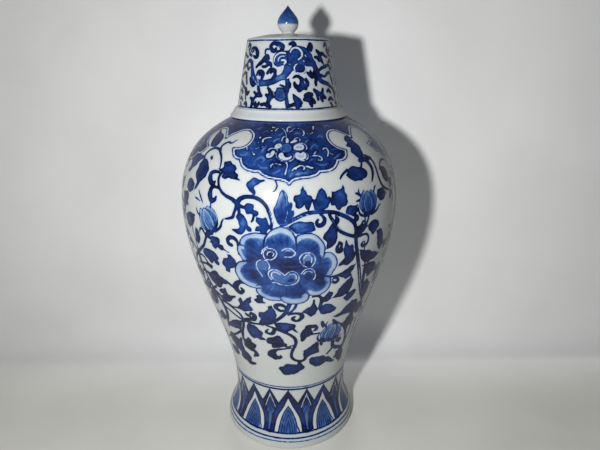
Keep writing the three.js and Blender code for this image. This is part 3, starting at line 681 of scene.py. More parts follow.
# A bud, in units of its size: its petals, the lines on them, and its base and sepals.
BUD_PETALS = [
    [(-0.2, -0.95), (-0.7, -0.75), (-1.02, -0.2), (-0.95, 0.35), (-0.66, 0.8), (-0.36, 0.98), (-0.12, 0.45),
     (-0.2, -0.3)],
    [(0.15, -0.95), (0.7, -0.8), (1.0, -0.25), (0.98, 0.25), (0.74, 0.62), (0.4, 0.84), (0.1, 0.5),
     (0.05, -0.3)],
    [(-0.1, -1.0), (-0.52, -0.6), (-0.6, -0.05), (-0.4, 0.5), (-0.06, 0.86), (0.26, 0.6), (0.46, 0.05),
     (0.4, -0.6), (0.1, -1)],
]
BUD_LINES = [
    [(-0.7, 0.4, 0.2), (-0.82, -0.1, 0.4), (-0.55, -0.7, 0.6)], [(-0.62, 0.7, 0.15), (-0.66, 0.35, 0.3)],
    [(-0.35, 0.3, 0.2), (-0.36, -0.2, 0.4), (-0.22, -0.8, 0.6)],
    [(-0.05, 0.6, 0.15), (-0.08, -0.1, 0.35), (-0.02, -0.8, 0.7)],
    [(0.22, 0.3, 0.2), (0.22, -0.25, 0.35), (0.14, -0.8, 0.6)],
    [(0.5, 0.6, 0.15), (0.66, 0.1, 0.35), (0.5, -0.6, 0.6)],
    [(0.82, 0.3, 0.15), (0.84, -0.2, 0.35), (0.62, -0.7, 0.5)],
    [(0.3, 0.75, 0.2), (0.42, 0.4, 0.3), (0.5, 0.2, 0.15)],
]
BUD_SEPALS = [
    [(-0.85, -0.5, 0.3), (-0.5, -0.85, 1.1), (0, -0.98, 1.5), (0.45, -0.85, 1.2), (0.85, -0.55, 0.3)],
    [(0.2, -1.1, 1.2), (0.85, -1.0, 1.1), (1.25, -0.7, 0.8), (1.55, -0.6, 0.3)],
    [(-0.2, -1.1, 1.2), (-0.9, -0.95, 1.1), (-1.2, -0.5, 0.8), (-1.15, -0.1, 0.3)],
    [(-0.75, 0.5, 0.4), (-0.95, 0.9, 0.9), (-0.9, 1.25, 0.3)],
    [(0.75, 0.55, 0.4), (0.95, 0.9, 0.8), (1.2, 1.05, 0.3)],
]
BUDS = (((-41.2, 236), -32, 10.8, 0.36), ((40.2, 249.5), -4, 9.8, 0.48), ((29.6, 127.5), 12, 10.6, 0.4))


def paint_bud(art, place, lean, size, deep):
    """A pale bud: three overlapping petals with fine lines, a dark base and spread sepals.

    Its unit shapes are turned by lean, scaled by its size and laid round its place.
    """
    angle, height = place
    row = np.searchsorted(art.height, height)
    turn = math.radians(lean)
    rise = (art.height[row + 3] - art.height[row]) / (art.arc[row + 3] - art.arc[row])

    def laid(points):
        placed = []
        for x, y, *width in points:
            across = (x * math.cos(turn) + y * math.sin(turn)) * size / art.radius[row]
            up = (y * math.cos(turn) - x * math.sin(turn)) * size * rise
            placed.append((angle + math.degrees(across), height + up, *width))
        return placed

    for points in BUD_PETALS:
        art.petal(laid(points), deep - 0.2, deep, 0.2, 3.2, line=0.38, tone=0.72)
    art.strokes(map(laid, BUD_LINES), tone=0.6)
    art.strokes(map(laid, BUD_SEPALS))


# The peony: its petals, each with how broad a pale rim it keeps, and what lies on them.
PETALS = [
    (3.0, [(-6, 231), (-11.6, 230.5), (-15, 231), (-18, 229.8), (-20.5, 228), (-22.5, 224.5), (-23, 221),
     (-22, 218.5), (-18, 212), (-8, 212)]),
    (2.2, [(-12, 220), (-22, 219.5), (-24, 219), (-24.7, 215), (-24, 211.5), (-23, 208.5), (-21.5, 206),
     (-12, 204)]),
    (3.4, [(15, 213), (17.5, 213.8), (19.5, 213), (21.5, 210), (22.7, 206.5), (23.2, 203), (22.8, 199),
     (21.5, 195.5), (19.8, 192), (10, 192), (8, 208)]),
    (3.0, [(3.3, 229.3), (5.5, 230.8), (8.5, 231), (11, 230), (13, 227.5), (14.5, 224.5), (15.8, 221),
     (16.2, 216), (14, 205), (2, 208)]),
    (3.0, [(5, 186), (6.5, 181), (8.5, 177.5), (10.5, 175), (13, 173.8), (15.5, 174), (18, 175.8), (20, 179),
     (21, 183), (20.8, 187), (19.5, 191), (12, 196), (3, 194)]),
    (3.0, [(-17, 184), (-17.3, 181), (-17.3, 177.5), (-16, 174.5), (-13.5, 172), (-10.5, 170), (-7, 170),
     (-4.5, 170.3), (-2, 174), (-3, 190), (-14, 192)]),
    (3.6, [(-20, 206), (-23.5, 205), (-25.5, 203), (-27, 199), (-27.7, 195), (-27, 191), (-25.8, 187),
     (-23.5, 184), (-21, 182), (-18, 181.3), (-15.5, 181.5), (-13, 183), (-6, 190), (-8, 206)]),
    (4.6, [(-5, 172.5), (-4, 170), (-2.5, 168), (0, 166.8), (3, 166.5), (6.5, 167.3), (9, 169.5),
     (10, 172.5), (9.8, 175.5), (8.3, 180), (3, 190), (-4, 188)]),
    (3.6, [(-11.3, 222), (-11, 226.5), (-9.8, 230.5), (-7.8, 234), (-5, 236.3), (-3, 236.5), (-0.5, 235),
     (1.5, 231.5), (2.5, 227.5), (2.8, 223), (2, 214), (-9, 214)]),
]
PEONY_MIDDLE = [
    (-20, 223), (-18, 226), (-13.5, 226.5), (-11.5, 222), (-9.3, 228), (-6, 231), (-2, 231), (0.6, 228),
    (2.7, 222), (5, 226), (9, 227), (12, 224), (13.5, 219.5), (14, 213), (16.5, 208.5), (19.3, 206.5),
    (20, 202), (18.8, 196), (17, 191), (17.8, 186), (16.3, 180.5), (13, 178.3), (9.7, 180), (7.5, 177),
    (5, 173.8), (0, 173), (-3, 174), (-6, 174.5), (-11, 175), (-14, 178.5), (-15, 184), (-19, 187),
    (-22.8, 190), (-24, 195), (-22.8, 201), (-20.5, 205), (-21, 212), (-21, 218),
]
PEONY_LINES = [
    [(-11.8, 213, 0.3), (-11.8, 221, 0.6), (-11, 228, 0.5)], [(3, 216, 0.3), (3, 223, 0.6), (2.6, 229, 0.5)],
    [(4.5, 189, 0.5), (5.2, 184, 0.6), (7, 179.5, 0.5), (9, 176.5, 0.5)],
    [(-17, 184, 0.5), (-14, 185.5, 0.4), (-10, 187, 0.3)],
    [(20, 191.5, 0.6), (16.5, 192.5, 0.9), (13, 192, 0.5)],
    [(-21.8, 206, 0.5), (-19, 207, 0.6), (-16.5, 209.5, 0.4)],
    [(-4.5, 204, 0.5), (-1.5, 203, 1.6), (2.5, 203.3, 1.5), (6, 204, 0.6)],
    [(-3.5, 208, 0.4), (1, 207, 0.8), (4.3, 208, 0.4)], [(13, 186.5, 0.4), (16, 185, 0.8), (19.5, 186, 0.4)],
    [(1.5, 176.5, 0.5), (4.5, 175.8, 0.9), (7.3, 177.5, 0.5)],
    [(-8.5, 175.2, 0.4), (-5, 174.3, 0.7), (-3.3, 175.5, 0.4)],
    [(-13.3, 200, 0.5), (-11.5, 197, 0.8), (-10.8, 193, 0.4)],
    [(12.8, 200, 0.4), (13.6, 195, 0.7), (13.3, 190, 0.4)],
    [(-18.5, 198, 0.4), (-17, 195, 0.8), (-17.5, 191, 0.3)],
    [(13, 214, 0.3), (14.3, 209, 0.5), (14, 203, 0.3)], [(-8.3, 225.5, 0.4), (-7, 223.5, 0.7)],
    [(-4.3, 225.5, 0.5), (-3, 224, 0.7)], [(-1.5, 226, 0.4), (-1, 223, 0.6)],
]
DEEP_IN_PEONY = (
    (-18.5, 222, 4.5, 0.14), (-17, 215, 5, 0.12), (-19, 208, 5, 0.12), (-21.5, 200, 5, 0.12),
    (-18, 195, 5, 0.2), (-16, 189, 5, 0.12), (0, 204, 7, 0.3), (-6, 207, 6, 0.2), (6, 203, 6, 0.25),
    (15.5, 194, 6, 0.22), (17, 186, 5, 0.2), (5, 176.5, 5, 0.24), (0, 178, 5, 0.12), (-6, 175.5, 4.5, 0.2),
    (-12.5, 177.5, 4, 0.12), (-4, 225.5, 4.5, 0.12), (11.5, 217, 5, 0.14), (8, 220, 4, 0.08),
    (3, 183, 5, 0.08), (-12.5, 212, 4, 0.15), (-13.5, 224, 3.5, -0.14), (8.5, 226, 4, -0.1),
    (12, 181, 6, -0.1), (-10, 183, 5, -0.1), (19, 203, 4, -0.06), (-8, 229, 4, -0.1),
)
HEART_WASHES = [
    (0.48, 0.5, [(-15.3, 203), (-14.6, 206), (-12.8, 207.8), (-10.8, 206.5), (-10.2, 203), (-11.5, 200),
     (-14, 200)]),
    (0.42, 0.48, [(-8.6, 192), (-9.5, 195), (-8.4, 198.8), (-6.5, 198.8), (-4, 196.5), (-2.3, 193.8),
     (0, 196.5), (2, 197), (3.3, 193.5), (2.4, 189), (-1, 187.5), (-6, 189)]),
    (0.4, 0.44, [(6.8, 208), (6.8, 212), (8, 213.5), (9.4, 211.5), (9.4, 208)]),
    (0.28, 0.3, [(-2.5, 217.3), (-0.6, 218.6), (1, 217.3), (-0.6, 216.4)]),
]
PALE_RINGS = [
    [(-12, 212.5), (-12, 215.5), (-10.5, 218.3), (-8, 218.8), (-6.3, 217), (-5.9, 214), (-7, 210.8),
     (-9, 209), (-11.2, 209.8), (-12, 212.5)], [(-12.8, 214), (-12.2, 217.5), (-10, 220.3)],
    [(-10.3, 213), (-9.8, 215.6), (-8, 216.2), (-7.2, 214.4), (-7.8, 212.4)],
    [(-3.6, 217.3), (-1.5, 219.2), (0.5, 219), (1.8, 217), (2.6, 215.3), (1.8, 213), (0, 211.8),
     (-2.4, 212.1)],
    [(8.3, 202.2), (6.3, 204), (4.8, 207.5), (4.6, 211), (6, 214.2), (8.3, 215.2), (10.5, 213.8),
     (11.8, 210), (11.6, 206), (10.4, 202.6)],
    [(6.6, 206), (6.4, 210), (7.5, 213), (9.2, 212.8), (10.2, 209.5), (10, 206)],
    [(-13.3, 193.5), (-14.2, 196.5), (-15.4, 199.5), (-15.8, 203.5), (-15.3, 206.5), (-13.5, 208.5),
     (-11.3, 208.4), (-10, 206.3), (-9.4, 203), (-10, 200.6)],
    [(-9, 191), (-10.3, 194.5), (-10, 198), (-8.5, 200.2), (-6.5, 200.3), (-4.8, 198.8), (-3.3, 196.8),
     (-2.3, 195.3), (-1, 197.5), (0.7, 199), (2.6, 198.5), (4, 196), (4.4, 192.5), (3.9, 189.5),
     (2.6, 187.3), (0, 185.9), (-3, 186), (-6, 187.3)],
    [(-8, 191.8), (-8.9, 195), (-8.2, 197.8), (-6.6, 198.1), (-4.6, 196.3)],
    [(0, 196.3), (1.8, 196.8), (3, 194.8), (3.1, 192)],
    [(5.4, 196.2), (7, 199.8), (9.5, 200.8), (11.5, 198.8), (12.3, 195.5), (12.3, 192), (11.6, 190.2)],
    [(6.6, 196), (7.6, 198), (9.5, 198.6), (10.8, 196.8)], [(-8.6, 188), (-6.8, 188.3), (-4.4, 186.6)],
]
DARK_CORES = (
    [(-10.2, 213), (-9, 215.2), (-7.6, 213.8), (-8.4, 211), (-9.8, 211)],
    [(-3, 215), (-1, 216.6), (1.3, 215.8), (0.8, 213.6), (-1, 212.9), (-2.7, 213.6)],
    [(7.3, 206.5), (8.5, 208), (9.8, 206.3), (9, 203.5), (7.6, 204)],
    [(7.2, 193.5), (9, 196), (10.8, 194), (10, 191), (8, 190.8)],
    [(-0.6, 190.8), (1, 192.2), (2.4, 190.8), (1, 188.6), (-0.6, 189)],
)


def paint_peony(art):
    """The flower: pale-rimmed petals over each other, a deeper heart, and ringed inner petals."""
    for margin, points in PETALS:
        art.petal(points, 0.17, 0.58, margin, 2.4, line=0.5, tone=0.76)
    art.petal(PEONY_MIDDLE, 0.5, 0.6, 0.1, 2, line=0)
    art.pool("wash", DEEP_IN_PEONY)
    art.comb((-2, 202), 0.022)
    art.strokes(PEONY_LINES, tone=0.74)
    for pale, deep, points in HEART_WASHES:
        art.petal(points, pale, deep, 0.2, 2, line=0)
    for points in DARK_CORES:
        art.leaf(points, 0.8, grow=-0.2)
    art.spares(PALE_RINGS, 0.42)


# The upright leaf that crowns the flower, and the lines left bare along some thick stems.
CROWN = [
    (-3, 264), (-4, 262), (-5, 257.5), (-5.8, 253), (-6.8, 250), (-6.5, 246), (-5.5, 241.5), (-4, 238),
    (-1.5, 238), (0, 241), (1, 244), (2, 246.5), (1.8, 249), (0.7, 249.5), (1.2, 252.5), (1, 255),
    (0, 254.5), (-0.8, 256.5), (-1, 260), (-2, 262.8),
]
CROWN_LINES = [
    [(-2.9, 263, 0.3), (-2, 259, 0.5), (-1.7, 254, 0.3)],
    [(-5.6, 251, 0.3), (-4.9, 246, 0.6), (-3.8, 240, 0.8)],
    [(-3.6, 255, 0.2), (-3.3, 248, 0.5), (-2.8, 241, 0.7)],
    [(-0.4, 255, 0.3), (-0.8, 249, 0.7), (-1.9, 242, 0.9)],
    [(0.7, 254, 0.7), (0.2, 249.5, 0.8), (-0.8, 244.5, 0.5)],
    [(1.5, 248, 0.8), (0.8, 245, 0.9), (-0.6, 241, 0.7)],
    [(-6.3, 249.5, 0.3), (-6, 246, 0.5), (-4.9, 240.5, 0.6)],
]
CROWN_POOLS = (
    (-3.2, 261, 5, -0.16), (-2.5, 252, 4, -0.08), (-3, 241, 6, 0.2), (0.3, 251, 4, 0.2), (1, 246, 4, 0.15),
)
SPARED_IN_STEMS = [
    [(-9.2, 249.5, 0.3), (-7.9, 244, 0.4), (-7.2, 238, 0.4)],
    [(1.9, 167, 0.4), (1.2, 163.5, 0.4), (-0.1, 159.8, 0.3)],
    [(-0.6, 254, 0.2), (-0.9, 247, 0.3), (-2, 240.5, 0.2)],
    [(1, 241.6, 0.2), (5, 244.8, 0.3), (9, 246.2, 0.2)],
    [(36, 201, 0.2), (38.1, 191, 0.4), (41, 179, 0.5), (44, 170, 0.4), (47.5, 161, 0.2)],
    [(-32.4, 139, 0.2), (-34.2, 133, 0.4), (-36, 127, 0.2)],
    [(-24, 139.9, 0.2), (-18, 140.2, 0.3), (-13, 142.4, 0.2)],
    [(19.3, 240.5, 0.2), (21.2, 235.5, 0.3), (24, 230.5, 0.2)],
]


def paint_face(art, turn):
    """The scroll and its peony, centred at an angle called turn."""
    art.turn = turn
    art.strokes(STEMS, tone=0.84)
    art.strokes(CURLS, tone=0.9, grow=0.3, rough=0.5)
    for darkness, points in LEAVES:
        art.leaf(points, 0.45 + darkness / 2, grow=0.4)
    art.pool("tone", [(*spot, BRIGHTER) for spot in BRIGHT_SPOTS])
    art.pool("tone", DENSE_SPOTS)
    art.petal(CROWN, 0.34, 0.62, 0.2, 4, line=0.35, tone=0.74)
    art.pool("wash", CROWN_POOLS)
    art.strokes(CROWN_LINES, tone=0.68)
    art.spares(SPARED_IN_STEMS)
    for bud in BUDS:
        paint_bud(art, *bud)
    paint_peony(art)


for turn in (0, 180):
    paint_face(body, turn)

# The scroll between the two faces: a smaller flower on each side, with stems, and small leaves
# and curls that are each a few touches of the same brush.
SIDE_STEMS = [
    [(0, 186, 1.2), (-2, 178, 1.3), (-7, 170, 1.3), (-13, 163, 1.3), (-20, 158, 1.1), (-26, 157, 0.8),
     (-31, 160, 0.4)],
    [(-2, 178, 0.9), (4, 168, 1.2), (9, 158, 1.3), (11, 147, 1.3), (8, 137, 1.3), (1, 130, 1.3),
     (-6, 124, 1.2), (-10, 116, 1.2), (-8, 108, 1.2), (-2, 103, 1.1), (4, 104, 0.8)],
    [(0, 224, 1.2), (3, 232, 1.3), (9, 240, 1.3), (12, 248, 1.3), (10, 257, 1.2), (3, 263, 1.1),
     (-5, 265, 1), (-11, 262, 0.7)], [(9, 240, 0.9), (16, 243, 1.1), (22, 241, 1), (26, 236, 0.6)],
    [(-4, 228, 0.9), (-11, 234, 1.1), (-17, 235, 1.1), (-22, 231, 0.9), (-24, 225, 0.5)],
    [(11, 147, 0.9), (17, 142, 1.1), (23, 142, 1), (27, 147, 0.5)],
    [(-10, 116, 0.8), (-17, 118, 1), (-24, 115, 0.9), (-28, 108, 0.5)],
]
# Unit leaves and curls as x, y and half width. They spring from their stalk at 0, 0 along y.
PLAIN = [
    [(0, 0, 0.04), (0.06, 0.25, 0.17), (0, 0.55, 0.2), (-0.05, 0.8, 0.1), (0, 1, 0.02)],
]
TREFOIL = [
    [(0, 0, 0.05), (0, 0.45, 0.17), (0, 0.75, 0.16), (0.02, 1.05, 0.02)],
    [(0, 0.2, 0.08), (-0.3, 0.32, 0.17), (-0.42, 0.52, 0.05)],
    [(0, 0.2, 0.08), (0.3, 0.3, 0.17), (0.45, 0.48, 0.05)],
]
CLUB = [
    [(0, -0.5, 0.05), (0, 0, 0.09), (0, 0.35, 0.2), (0, 0.6, 0.22)], [(0, 0.1, 0.1), (-0.3, 0.2, 0.2)],
    [(0, 0.1, 0.1), (0.3, 0.16, 0.2)],
]
COMMA = [
    [(0, 0, 0.04), (0.2, 0.3, 0.07), (0.2, 0.7, 0.12), (-0.08, 0.9, 0.2), (-0.3, 0.72, 0.2)],
]
CURL = [
    [(0, 0, 0.06), (0.28, 0.3, 0.08), (0.28, 0.75, 0.1), (-0.05, 1, 0.1), (-0.35, 0.75, 0.09),
     (-0.25, 0.45, 0.09), (0, 0.5, 0.12)],
]
SIDE_SPRIGS = [
    (TREFOIL, (-12, 178), -60, 14), (TREFOIL, (14, 176), 50, 13), (PLAIN, (-20, 168), -120, 14),
    (CLUB, (20, 160), 70, 11), (CURL, (-27, 172), -30, 12), (TREFOIL, (-22, 146), -100, 13),
    (PLAIN, (12, 132), 110, 15), (CLUB, (-13, 134), -60, 11), (CURL, (-3, 146), -20, 11),
    (TREFOIL, (8, 102), 90, 12), (PLAIN, (-14, 108), -110, 14), (CURL, (14, 116), 40, 11),
    (TREFOIL, (-22, 215), -70, 13), (CLUB, (22, 212), 80, 11), (PLAIN, (20, 192), 120, 14),
    (CURL, (-22, 190), -60, 12), (TREFOIL, (20, 228), 60, 12), (PLAIN, (-14, 243), -40, 14),
    (TREFOIL, (-8, 250), -20, 12), (CLUB, (18, 254), 40, 11), (CURL, (3, 272), 20, 10),
    (TREFOIL, (-16, 262), -80, 12), (PLAIN, (24, 268), 60, 12), (CLUB, (-26, 256), -50, 10),
    (PLAIN, (0, 92), 180, 11), (CLUB, (18, 96), 120, 9), (CLUB, (-20, 96), -120, 9),
    (TREFOIL, (0, 156), 0, 11), (PLAIN, (-32, 182), -80, 12), (CLUB, (30, 176), 60, 10),
    (TREFOIL, (4, 118), 170, 11), (PLAIN, (-20, 126), -50, 12), (CLUB, (24, 108), 60, 9),
    (TREFOIL, (-5, 236), -60, 11), (COMMA, (16, 268), 30, 10), (PLAIN, (6, 250), 80, 11),
    (TREFOIL, (28, 222), 40, 11), (CLUB, (-30, 204), -60, 10), (PLAIN, (-6, 84), -150, 10),
    (TREFOIL, (16, 148), -150, 11), (CLUB, (-16, 150), 160, 9), (COMMA, (-26, 240), -20, 11),
    (PLAIN, (26, 246), 130, 11), (COMMA, (-28, 130), -30, 11), (COMMA, (28, 126), 30, 11),
    (COMMA, (27, 200), 20, 10),
]
PETAL_ORDER = (0, 4, 1, 3, 2, 5, 7, 6)
PETAL_FORM = (
    (-0.22, 0.5), (-0.462, 0.85), (-0.275, 1.12), (0, 1.2), (0.275, 1.12), (0.462, 0.85), (0.22, 0.5),
)
FLOWER_HEIGHT = 205


def oval(angle, height, half_width, half_height, bearings):
    """Places round an ellipse, at bearings from its right."""
    return [(angle + half_width * math.cos(b), height + half_height * math.sin(b)) for b in bearings]


for turn in (90, -90):
    body.turn = turn
    body.strokes(SIDE_STEMS, tone=0.82)
    for sprig in SIDE_SPRIGS:
        body.sprig(*sprig)
    for k in PETAL_ORDER:
        middle = 2 * math.pi * (k + 0.3) / len(PETAL_ORDER)
        petal = []
        for swing, far in PETAL_FORM:
            petal += oval(0, FLOWER_HEIGHT, 10.5 * far, 16.5 * far, [middle + swing])
        body.petal(petal, 0.2, 0.58, 1.6, 2.6, tone=0.8)
    body.petal(oval(0, FLOWER_HEIGHT, 6, 9.5, np.linspace(0, 6, 9)), 0.5, 0.72, 0.4, 3, line=0.4)
    for angle, height in ((-2.5, 208), (2.5, 208), (0, 201.5)):
        body.spares([oval(angle, height, 1.6, 2.4, np.linspace(0, 6.3, 11))], 0.45)

# The collar: a dark ground that hangs from the cover's rim in four pointed lappets, brushed in
# thick cobalt, with one line spared all along its edge, and a small flower and curls left white
# in each lappet.
COLLAR_LEFT = [
    (-45, 297.2), (-45, 297.2), (-40.5, 300.5), (-36, 302.6), (-31.5, 303.2), (-27, 302), (-24, 299.5),
    (-23.5, 296), (-25.5, 292.5), (-29, 290.7), (-33, 290), (-33, 290), (-31, 286.3), (-28.5, 284.5),
    (-26, 284.2), (-26, 284.2), (-25.7, 283), (-24, 280), (-21.5, 277.8), (-18, 276.7), (-14.8, 276.8),
    (-14.8, 276.8), (-14, 276), (-12, 274.2), (-9, 272.7), (-5, 271.8), (-2, 270.8),
]
COLLAR_EDGE = [
    (0, 268.8), (0, 268.8), (1.6, 271), (4, 272.2), (8, 272.8), (11, 273.4), (13.5, 274.6), (15, 276.6),
    (15, 276.6), (17.5, 276.4), (20.5, 276.8), (23, 278.3), (24.8, 280.6), (26, 282.7), (26, 282.7),
    (28.5, 282.9), (31, 284), (32.6, 286), (33.5, 288.6), (33.5, 288.6), (30.3, 290.2), (27.7, 292.2),
    (26.1, 294.8), (25.7, 297.3), (26.7, 299.8), (29.3, 301.7), (33, 302.6), (37, 302.2), (40.5, 300.4),
    (45, 297.2), (45, 297.2),
]
CURLS_IN_COLLAR = [
    [(-9, 279.2, 0.4), (-9, 280.8, 0.5), (-7.4, 281.9, 0.5), (-5.2, 281.7, 0.5), (-3.4, 280.8, 0.3)],
    [(-1.4, 282.6, 0.5), (-0.8, 281, 0.45), (-1.2, 278.5, 0.4), (-1.8, 275.5, 0.45), (-2, 274.3, 0.4)],
    [(1.4, 277.2, 0.4), (2.4, 278.6, 0.6), (4, 279.6, 0.55), (5.6, 280.7, 0.5), (7, 280.3, 0.5),
     (7.6, 278.6, 0.5), (6.8, 277.8, 0.3)],
    [(7.6, 280.2, 0.4), (9.2, 279.9, 0.6), (10.8, 279, 0.6), (12.2, 278.8, 0.3)],
    [(-19.3, 291, 0.3), (-17.4, 292, 0.35), (-15, 292.6, 0.25)], [(-21, 289.6, 0.3), (-20, 288.2, 0.35)],
    [(-24.8, 292, 0.5), (-24.6, 290.8, 0.45), (-23.4, 290, 0.3)],
    [(-16.2, 295.9, 0.8), (-16.4, 297.4, 0.6), (-14.6, 298.4, 0.55), (-12.4, 298.8, 0.5),
     (-10.6, 298.6, 0.3)],
    [(-9.8, 302.8, 0.4), (-9, 304.2, 0.4), (-7, 304.8, 0.4), (-5, 304.6, 0.35), (-3.2, 303.4, 0.35),
     (-2.2, 301.8, 0.35), (-1.6, 300, 0.35)],
    [(-1, 302.5, 0.4), (-1.2, 304.4, 0.5), (0.2, 305.6, 0.6), (1.4, 305.4, 0.6)],
    [(0.6, 302.6, 0.4), (1.8, 302.8, 0.35), (3.2, 304, 0.35), (5, 304.8, 0.35), (7.4, 304.6, 0.35),
     (9.4, 304, 0.4), (10.8, 302.8, 0.45), (10.6, 301, 0.45), (9.4, 299.9, 0.4)],
    [(18.6, 303.6, 0.4), (19.4, 304.8, 0.6), (20.2, 305.6, 0.6)],
    [(10.2, 295.8, 0.25), (12, 297, 0.3), (14.2, 297.3, 0.3), (16.4, 296, 0.2)],
    [(13.7, 288, 0.4), (14.8, 289.2, 0.45), (15.8, 289.7, 0.3)],
    [(19.3, 290.4, 0.4), (20.8, 291.5, 0.5), (22.2, 290.9, 0.5), (22.3, 289, 0.45), (21.6, 287.2, 0.5),
     (21, 286, 0.5)], [(22.8, 288, 0.3), (24, 287, 0.45), (24.9, 286.4, 0.4)],
    [(11.3, 286.2, 0.3), (13.3, 286.8, 0.45), (15.6, 286.6, 0.5), (17.2, 285.6, 0.5), (17.5, 284.2, 0.5),
     (16.4, 283.4, 0.5), (15.3, 283.9, 0.4)],
    [(-7, 289.2, 0.3), (-6.7, 286.8, 0.35), (-5.4, 284.8, 0.35), (-2.6, 283.4, 0.4), (0.2, 283.6, 0.4),
     (2.3, 285.1, 0.35), (2.6, 287.2, 0.3), (1.9, 289, 0.2)],
    [(-11.8, 290.2, 0.3), (-10.7, 291.7, 0.4), (-8.8, 292.1, 0.4), (-7, 291.5, 0.4), (-6.1, 290, 0.3)],
    [(-4, 295.5, 0.3), (-4.4, 297.5, 0.4), (-3.5, 299.2, 0.45), (-2.2, 299.6, 0.4), (-1.5, 298.8, 0.3)],
    [(3.3, 297.6, 0.3), (4.5, 298.5, 0.4), (6.3, 298.6, 0.4), (7.1, 297.5, 0.4), (6.5, 296.1, 0.3)],
    [(5, 295.3, 0.3), (8, 295.2, 0.4), (10, 293.9, 0.4), (10.3, 292, 0.35), (9.6, 290.8, 0.3)],
    [(9.8, 289, 0.3), (10.3, 287, 0.35), (9.5, 284.9, 0.35), (7.4, 283.7, 0.35), (5, 283.5, 0.25)],
]
FAINT_IN_COLLAR = [
    [(-22, 281.5, 0.4), (-20, 280, 0.6), (-17.6, 280.6, 0.4)],
    [(-15.5, 280.6, 0.4), (-13.6, 279, 0.6), (-11, 278.8, 0.4)],
    [(-16.8, 284.6, 0.4), (-15, 286, 0.6), (-12.8, 284.6, 0.6), (-13.6, 283, 0.3)],
    [(-28, 287.5, 0.4), (-26, 286.2, 0.6), (-23.6, 286.8, 0.4)],
    [(-14.8, 289.4, 0.3), (-14.6, 291.2, 0.6), (-13.2, 293.4, 0.5)],
    [(-22, 295.5, 0.3), (-20.6, 293.6, 0.5)], [(-9.6, 296, 0.3), (-7.8, 297.6, 0.6), (-5.8, 298, 0.4)],
    [(-6.4, 300.4, 0.4), (-4.4, 301.6, 0.5)], [(3.8, 301, 0.4), (6, 301.8, 0.6), (8, 301, 0.3)],
    [(12.6, 291, 0.4), (13.4, 292.8, 0.6), (15.6, 293.8, 0.5), (17.4, 292.4, 0.3)],
    [(24.4, 284, 0.4), (26.6, 285.4, 0.6), (29, 286.8, 0.4)],
    [(12.8, 282.4, 0.4), (15, 281, 0.6), (17.6, 280.2, 0.5), (19.8, 281.2, 0.4)],
    [(3, 274.6, 0.4), (5.6, 275.4, 0.5), (9, 275.8, 0.4)],
    [(-7.6, 275.4, 0.4), (-5.2, 276.8, 0.6), (-4, 278.6, 0.3)],
    [(19, 298.4, 0.4), (21, 299.6, 0.6), (22.6, 298.2, 0.4)], [(13.4, 304.6, 0.4), (16, 305.4, 0.5)],
    [(-18.6, 301.6, 0.4), (-16.4, 303, 0.6), (-14.6, 302, 0.3)], [(-24, 303.6, 0.4), (-21.4, 305, 0.5)],
    [(25, 289.6, 0.4), (26.8, 290.4, 0.5), (28.6, 289.2, 0.3)], [(10.4, 283.2, 0.4), (12, 284.4, 0.5)],
    [(29, 304.4, 0.4), (32, 305.6, 0.6), (35, 305, 0.4)], [(-34, 305.2, 0.4), (-30, 306, 0.6)],
    [(0.4, 273.4, 0.4), (1.4, 275.4, 0.4)], [(-10.8, 283.6, 0.4), (-9, 285, 0.5)],
]
DOTS_IN_COLLAR = (
    (-19.3, 287.6, 0.7), (-19.2, 298.5, 0.8), (-19, 295.4, 0.5), (-12.5, 305.2, 0.8), (-12.7, 303, 0.65),
    (-11, 305, 0.5), (3.2, 278.6, 0.7), (10.4, 302, 0.5), (13, 301.2, 0.55), (15, 300.8, 0.5),
    (16.6, 301.6, 0.65), (15, 284.2, 0.5),
)
FLOWER_WASH = [(-5, 291), (-4, 294), (-1, 294.9), (1.2, 293), (0.6, 290.2), (-2, 289.4)]
FLOWER_CORE = [(-2.7, 289.5), (-1, 289.4), (-0.7, 287.4), (-1.5, 286.5), (-2.6, 287.2)]
WHITE_IN_COLLAR = [
    [(-5.5, 287.8), (-4.6, 289.1), (-3.2, 288.9), (-2.7, 287.2), (-1.6, 286.1), (0.2, 286.4), (1.1, 287.4),
     (1.5, 286.4), (0.6, 285), (-1.5, 284.4), (-3.9, 284.8), (-5.3, 286.2)],
    [(-12.4, 287.6), (-11.7, 288.7), (-10.4, 288.5), (-9.6, 289.9), (-8.6, 290.7), (-7.7, 289.7), (-8, 288),
     (-9, 286.6), (-10.5, 285.6), (-12, 286)],
    [(-8.1, 292.8), (-7.8, 294.2), (-6.5, 295.1), (-4.9, 294.9), (-4.1, 293.8), (-5, 292.6), (-6.3, 291.9)],
    [(-1.9, 295.5), (-1.8, 297.8), (-0.9, 298.6), (-0.1, 297.3), (-0.3, 295.4)],
    [(0.4, 295.3), (1.8, 296.6), (4, 297.5), (5.6, 297), (4.4, 296), (2.2, 295.3)],
    [(2.6, 292.4), (3, 293.6), (4.2, 294.5), (6.2, 294.6), (8.2, 294.2), (8.9, 292.6), (8, 291.1),
     (6, 290.7), (4.4, 290.8), (2.9, 291.3)],
    [(3.5, 288.8), (3.3, 286.5), (4.3, 285), (6.2, 284.4), (8.4, 285), (9.4, 286.8), (9, 288.8),
     (7.6, 289.5), (6.4, 288.7), (5, 289.4)],
]
LINES_IN_PETALS = [
    [(5, 287.2, 0.2), (6.3, 286.4, 0.35), (7.8, 287, 0.2)],
    [(4.4, 292.3, 0.2), (5.8, 293, 0.35), (7.4, 292.4, 0.2)], [(-11, 287, 0.2), (-9.6, 288.2, 0.3)],
    [(-6.6, 294.2, 0.2), (-5.6, 293.3, 0.3)],
    [(3.2, 290, 0.35), (5, 290.2, 0.4), (7, 290.1, 0.4), (9.4, 290, 0.3)],
    [(-9.9, 290.6, 0.4), (-9.4, 290.9, 0.4)],
]
